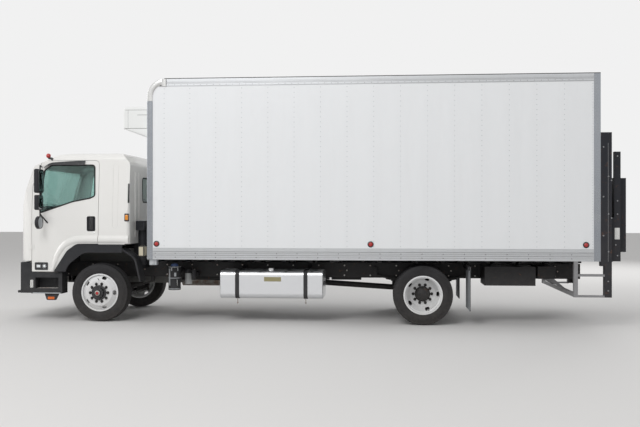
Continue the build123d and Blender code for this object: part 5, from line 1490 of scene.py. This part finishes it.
class TRUCK_OT_inside(bpy.types.Operator):
    """Add the instrument hood and dials, the air vents and the gear lever."""

    bl_idname = "truck.inside"
    bl_label = "Inside fittings"

    def execute(self, context):
        hood = bevelled((-1075, -925), (-740, -390), (1740, 1838), 18)
        dial = turned([(-2, 46), (3, 46), (5, 42), (2, 40), (2, 12)], (0, 0, 0), 28, "x")
        dials = copied(dial, grid_places([-925], DIAL_WIDTHS, [1786]))
        vents = [bevelled((-962, -940), (y - 60, y + 60), (1690, 1740), 5) for y in VENT_WIDTHS]
        fitting("instrument_hood", "cab", "cab plastic", hood, *vents)
        fitting("dials", "cab", "black gloss", dials)
        boot = turned([(0, 62), (20, 58), (38, 42), (60, 30), (74, 20)], (-690, -230, 1300), 24, "z")
        line = smooth_line([(-690, -230, 1360), (-700, -232, 1450), (-728, -240, 1560)])
        knob = turned([(-24, 10), (-16, 22), (0, 27), (16, 23), (24, 12)], (-730, -240, 1572), 20, "z")
        fitting("gear_lever", "cab", "cab plastic", boot, tube(line, 8, (0, 1, 0)), knob)
        return {"FINISHED"}


# Chassis fittings

TANK_STRAPS = (2174, 3243)
TANK_ENDS = (1946, 3529)
TANK_SIDE = 1180
STUD_OFFSET = 31
SPRING_BOLT_REACH = 72
SPRING_BOLT_BEND = [(385, 420), (385, 560), (392, 604), (425, 618), (458, 604), (465, 560), (465, 420)]
DRYER = (1124, -830, 0)
DRYER_RADIUS = 98
DRYER_PLATES = (((-88, -52), (560, 828)), ((-30, 84), (792, 842)), ((18, 50), (704, 764)))
DRYER_BANDS = (500, 672, 848)
RAIL_END = 7500
FLAP_RIBS = 34


def tank_parts():
    """Weld beads at the tank's ends, strap studs and their nuts."""
    outline = rectangle((-TANK_SIDE, -560), (390, 820), 75, 6)
    beads = [outline_frame(outline, [-2, 3, 3.5, -2], [-4, -4, 4, 4], on_rear(x)) for x in TANK_ENDS]
    studs = []
    for x in TANK_STRAPS:
        for profile, around in (([(-70, 7), (10, 7)], 12), ([(-56, 13), (-42, 13)], 6)):
            studs.append(turned(profile, (x + STUD_OFFSET, -1120, 372), around, "z"))
    return beads, studs


def ribbed_flap(x, y, z, ribs):
    """Mudflap skin: a thin closed sheet whose two faces wave in upright ribs."""
    across = np.linspace(y[0], y[1], ribs * 6 + 1)
    wave = 3.2 * np.abs(np.sin(np.pi * ribs * (across - y[0]) / (y[1] - y[0])))
    ring_x = np.concatenate([x[0] - 1 - wave, (x[1] + 1 + wave)[::-1]])
    ring_y = np.concatenate([across, across[::-1]])
    height = np.array(z, float)[:, None]
    shape = (2, len(ring_x))
    points = np.stack([np.broadcast_to(values, shape) for values in (ring_x, ring_y, height)], -1)
    return points.reshape(-1, 3), tube_faces(*shape)


def leaf_bolts():
    """U-bolts over the rear springs: a tube bent over each spring before the axle and one behind it."""
    axle = (REAR_AXLE[0] - FRONT_AXLE[0]) / MM
    parts = []
    for x in (axle - SPRING_BOLT_REACH, axle + SPRING_BOLT_REACH):
        line = smooth_line([(x, y, z) for y, z in SPRING_BOLT_BEND])
        parts.append(tube(line, 10, (1, 0, 0), 10))
    return both(*parts)


def dryer_wall(u, v, lift):
    """Points on the dryer's round wall: u goes round it from the left, v is the height."""
    reach = DRYER_RADIUS + lift
    turn = u / DRYER_RADIUS
    return np.stack([DRYER[0] + reach * np.sin(turn), DRYER[1] - reach * np.cos(turn), v + 0 * lift], -1)


class TRUCK_OT_chassis_fittings(bpy.types.Operator):
    """Add the fittings of the tanks, dryer, filter, frame rails, springs and mudflaps."""

    bl_idname = "truck.chassis_fittings"
    bl_label = "Chassis fittings"

    def execute(self, context):
        self.tank()
        self.dryer()
        self.small_tanks()
        self.frame()
        return {"FINISHED"}

    def tank(self):
        """Beads, filler cap, blank plate and strap studs of the fuel tank."""
        beads, studs = tank_parts()
        fitting("tank_beads", "chassis", "tank aluminium", *beads)
        cap = [(-34, 52), (-30, 55), (-6, 55), (-2, 50), (6, 50), (9, 46), (10, 20)]
        fitting("filler_cap", "chassis", "chrome", turned(cap, (2725.5, -1060, 850), 40, "z"))
        sign = plate((2628, 2894), (656, 724), 5, [(0, -1), (0, 1.6), (1, 2.4)], on_side(TANK_SIDE, -1))
        fitting("tank_plate", "chassis", "blank plate", sign)
        fitting("strap_studs", "chassis", "zinc bolt", *studs)

    def dryer(self):
        """Blue cap, blank label, bands and plates of the air dryer."""
        cap = turned([(856, 60), (880, 60), (896, 52), (905, 34), (908, 12)], DRYER, 40, "z")
        fitting("dryer_cap", "chassis", "canister blue", cap)
        label = plate((-62, 70), (556, 652), 6, [(0, -1), (0, 0.8), (1, 1.2)], dryer_wall)
        fitting("dryer_label", "chassis", "blank label", label)
        plates = [plate(u, v, 5, [(0, -1), (0, 3), (3, 5)], dryer_wall) for u, v in DRYER_PLATES]
        bands = []
        for z in DRYER_BANDS:
            bands.append(turned([(z, 98), (z + 1, 101), (z + 9, 101), (z + 10, 98)], DRYER, 48, "z"))
        fitting("dryer_bands", "chassis", "rivet alloy", *bands, *plates)

    def small_tanks(self):
        """Skins of the low filter and the expansion tank, and the expansion tank's cap."""
        profile = [(559, 55), (561, 60.6), (740, 60.6), (746, 57), (748, 30)]
        fitting("filter_skin", "chassis", "filter skin", turned(profile, (1300, -620, 0), 32, "z"))
        outline = rectangle((599, 701), (-1091, -929), 22, 6)
        reservoir = raised(outline, [(14, -1), (0, 12), (0, 148), (14, 159)], on_top(1032))
        fitting("expansion_skin", "chassis", "reservoir plastic", reservoir)
        cap = turned([(0, 24), (22, 24), (26, 20), (27, 8)], (650, -1000, 1186), 20, "z")
        fitting("expansion_cap", "chassis", "black gloss", cap)

    def frame(self):
        """Bolt heads on the frame rails, bolts of the rear springs, and the mudflaps' skins and bolts."""
        rows = np.concatenate([
            grid_places(np.arange(-1200, RAIL_END, 420), [-460], [705, 865]),
            grid_places(np.arange(-1160, RAIL_END, 840), [-460], [785]),
        ])
        rows[:, 1] = -node_box("frame_rails")[1][1]
        fitting("rail_bolt_heads", "chassis", "zinc bolt", *both(copied(hexagon(13, 10, -1), rows)))
        fitting("spring_bolts", "chassis", "chassis paint", *leaf_bolts())
        flap = ribbed_flap((5780, 5790), (644, 1236), (232, 900), FLAP_RIBS)
        fitting("flap_skins", "chassis", "flap rubber", *both(flap))
        bolts = copied(hexagon(9, 6, 1, "x"), grid_places([5794], np.linspace(680, 1200, 5), [880]))
        fitting("flap_bolts", "chassis", "zinc bolt", *both(bolts))


# Lift gate fittings

COLUMN_FACE = 1295
COLUMN_BOLTS = [
    (7812, 2262), (7856, 2203), (7812, 1702), (7856, 1643), (7812, 1142),
    (7740, 2700), (7740, 1960), (7740, 1380), (7808, 700), (7808, 560),
]
UPRIGHT_FACE = 1188
UPRIGHT_BOLTS = [(7971, 2570), (7971, 1900), (7971, 1700), (7971, 1080), (7945, 1240)]
TREAD_PITCH = 52


def gate_bolts(width, places):
    """Bolt heads on both sides of the gate at (station, height) places."""
    return both(copied(hexagon(12, 9, 1), [(x, width, z) for x, z in places]))


class TRUCK_OT_gate_fittings(bpy.types.Operator):
    """Add the lift gate's column strips, bolts, blank label and the treads of its platform."""

    bl_idname = "truck.gate_fittings"
    bl_label = "Lift gate fittings"

    def execute(self, context):
        strip = bevelled((7806, 7811), (1293, 1298), (993, 2760), 1)
        fitting("column_strips", "chassis", "step steel", *both(strip))
        fitting("column_bolts", "chassis", "step steel", *gate_bolts(COLUMN_FACE, COLUMN_BOLTS))
        upright = gate_bolts(UPRIGHT_FACE, UPRIGHT_BOLTS)
        fitting("upright_bolts", "gate_carriage", "step steel", *upright)
        face = on_side(UPRIGHT_FACE, -1)
        label = plate((7931, 8004), (1323, 1495), 5, [(0, -1), (0, 0.9), (1, 1.3)], face)
        fitting("gate_label", "gate_carriage", "blank label", label)
        stud = turned([(1, 7), (-2, 7), (-3.2, 5), (-3.4, 2)], (0, 0, 0), 8, "x")
        low, high = node_box("gate_platform")
        widths = np.arange(-1040, 1041, TREAD_PITCH)
        treads = grid_places([low[0]], widths, np.arange(low[2] + 90, high[2] - 60, TREAD_PITCH))
        fitting("platform_treads", "gate_platform", "gate steel", copied(stud, treads))
        return {"FINISHED"}


# Stage

CAMERA_PLACE = (1.179, -13.794, 1.710)
CAMERA_TURN = math.radians(4.69)
FOCAL_PIXELS = 820.0
PHOTO_WIDTH = 640.0
SENSOR = 36.0
LIGHT_TARGET = (0, 0, 1.5)
LIGHTS = (
    ("sun_side", (-4, -14, 12), (7, 7), 1080),
    ("fill_front", (-15, -4, 6), (8, 6), 380),
    ("fill_back", (9, 13, 9), (9, 7), 700),
)
FLOOR_REACH = 60.0
SKY_STRENGTH = (0.5, 0.88)


def area_light(name, place, size, power):
    """Rectangular light at a place, turned towards the middle of the truck."""
    lamp = bpy.data.lights.new(name, "AREA")
    lamp.shape = "RECTANGLE"
    lamp.size, lamp.size_y = size
    lamp.energy = power
    holder = bpy.data.objects.new(name, lamp)
    bpy.context.scene.collection.objects.link(holder)
    away = np.array(place) - np.array(LIGHT_TARGET)
    flat = math.hypot(away[0], away[1])
    holder.location = place
    holder.rotation_euler = (math.atan2(flat, away[2]), 0, math.atan2(away[0], -away[1]))


class TRUCK_OT_stage(bpy.types.Operator):
    """Add the floor, the lights and the camera at the photograph's viewing angle."""

    bl_idname = "truck.stage"
    bl_label = "Stage"

    def execute(self, context):
        scene = context.scene
        camera = bpy.data.cameras.new("camera")
        camera.sensor_width = SENSOR
        camera.lens = FOCAL_PIXELS * SENSOR / PHOTO_WIDTH
        holder = bpy.data.objects.new("camera", camera)
        holder.location = CAMERA_PLACE
        holder.rotation_euler = (math.pi / 2, 0, CAMERA_TURN)
        scene.collection.objects.link(holder)
        scene.camera = holder
        scene.view_settings.view_transform = "Standard"
        self.floor(scene)
        self.world(scene)
        for light in LIGHTS:
            area_light(*light)
        return {"FINISHED"}

    def floor(self, scene):
        """Flat floor far wider than the truck."""
        mesh = bpy.data.meshes.new("floor")
        corners = [(x * FLOOR_REACH, y * FLOOR_REACH, 0) for x, y in ((-1, -1), (1, -1), (1, 1), (-1, 1))]
        mesh.from_pydata(corners, [], [(0, 1, 2, 3)])
        floor = bpy.data.objects.new("floor", mesh)
        scene.collection.objects.link(floor)
        mesh.materials.append(finish("floor", (0.74, 0.73, 0.72), 0.8))

    def world(self, scene):
        """Even pale sky, whiter where the camera and reflections see it."""
        world = bpy.data.worlds.new("studio")
        scene.world = world
        world.use_nodes = True
        tree = world.node_tree
        background = tree.nodes["Background"]
        path = tree.nodes.new("ShaderNodeLightPath")
        seen = combine(tree, "MAXIMUM", path.outputs["Is Camera Ray"], path.outputs["Is Glossy Ray"])
        seen = combine(tree, "MAXIMUM", seen, path.outputs["Is Transmission Ray"])
        background.inputs["Color"].default_value = (1, 1, 1, 1)
        strength = value_range(tree, seen, 0.0, 1.0, *SKY_STRENGTH)
        tree.links.new(strength, background.inputs["Strength"])


class TRUCK_PT_panel(bpy.types.Panel):
    """Sizes, colours and pieces of the truck."""

    bl_label = "Refrigerated truck"
    bl_idname = "TRUCK_PT_panel"
    bl_space_type = "VIEW_3D"
    bl_region_type = "UI"
    bl_category = "Truck"

    def draw(self, context):
        for group in (context.scene.truck_sizes, context.scene.truck_colours):
            for name in group.bl_rna.properties.keys():
                if name not in {"rna_type", "name"}:
                    self.layout.prop(group, name)
        for operator in OPERATORS:
            self.layout.operator(operator.bl_idname)


OPERATORS = (
    TRUCK_OT_finishes,
    TRUCK_OT_tyres,
    TRUCK_OT_wheel_fittings,
    TRUCK_OT_body_fittings,
    TRUCK_OT_unit_fittings,
    TRUCK_OT_cab_fittings,
    TRUCK_OT_mirror_glasses,
    TRUCK_OT_headlamp_fittings,
    TRUCK_OT_seats,
    TRUCK_OT_inside,
    TRUCK_OT_chassis_fittings,
    TRUCK_OT_gate_fittings,
    TRUCK_OT_stage,
)
CLASSES = (TruckColours, TruckSizes, *OPERATORS, TRUCK_PT_panel)


def register():
    """Adds the add-on's classes and the two groups of settings."""
    for item in CLASSES:
        bpy.utils.register_class(item)
    bpy.types.Scene.truck_colours = bpy.props.PointerProperty(type=TruckColours)
    bpy.types.Scene.truck_sizes = bpy.props.PointerProperty(type=TruckSizes)


def unregister():
    """Takes the settings and the classes out again."""
    del bpy.types.Scene.truck_sizes
    del bpy.types.Scene.truck_colours
    for item in reversed(CLASSES):
        bpy.utils.unregister_class(item)


def main():
    """Runs every operator in order."""
    register()
    for operator in OPERATORS:
        getattr(bpy.ops.truck, operator.bl_idname.split(".")[1])()


if __name__ == "__main__":
    main()
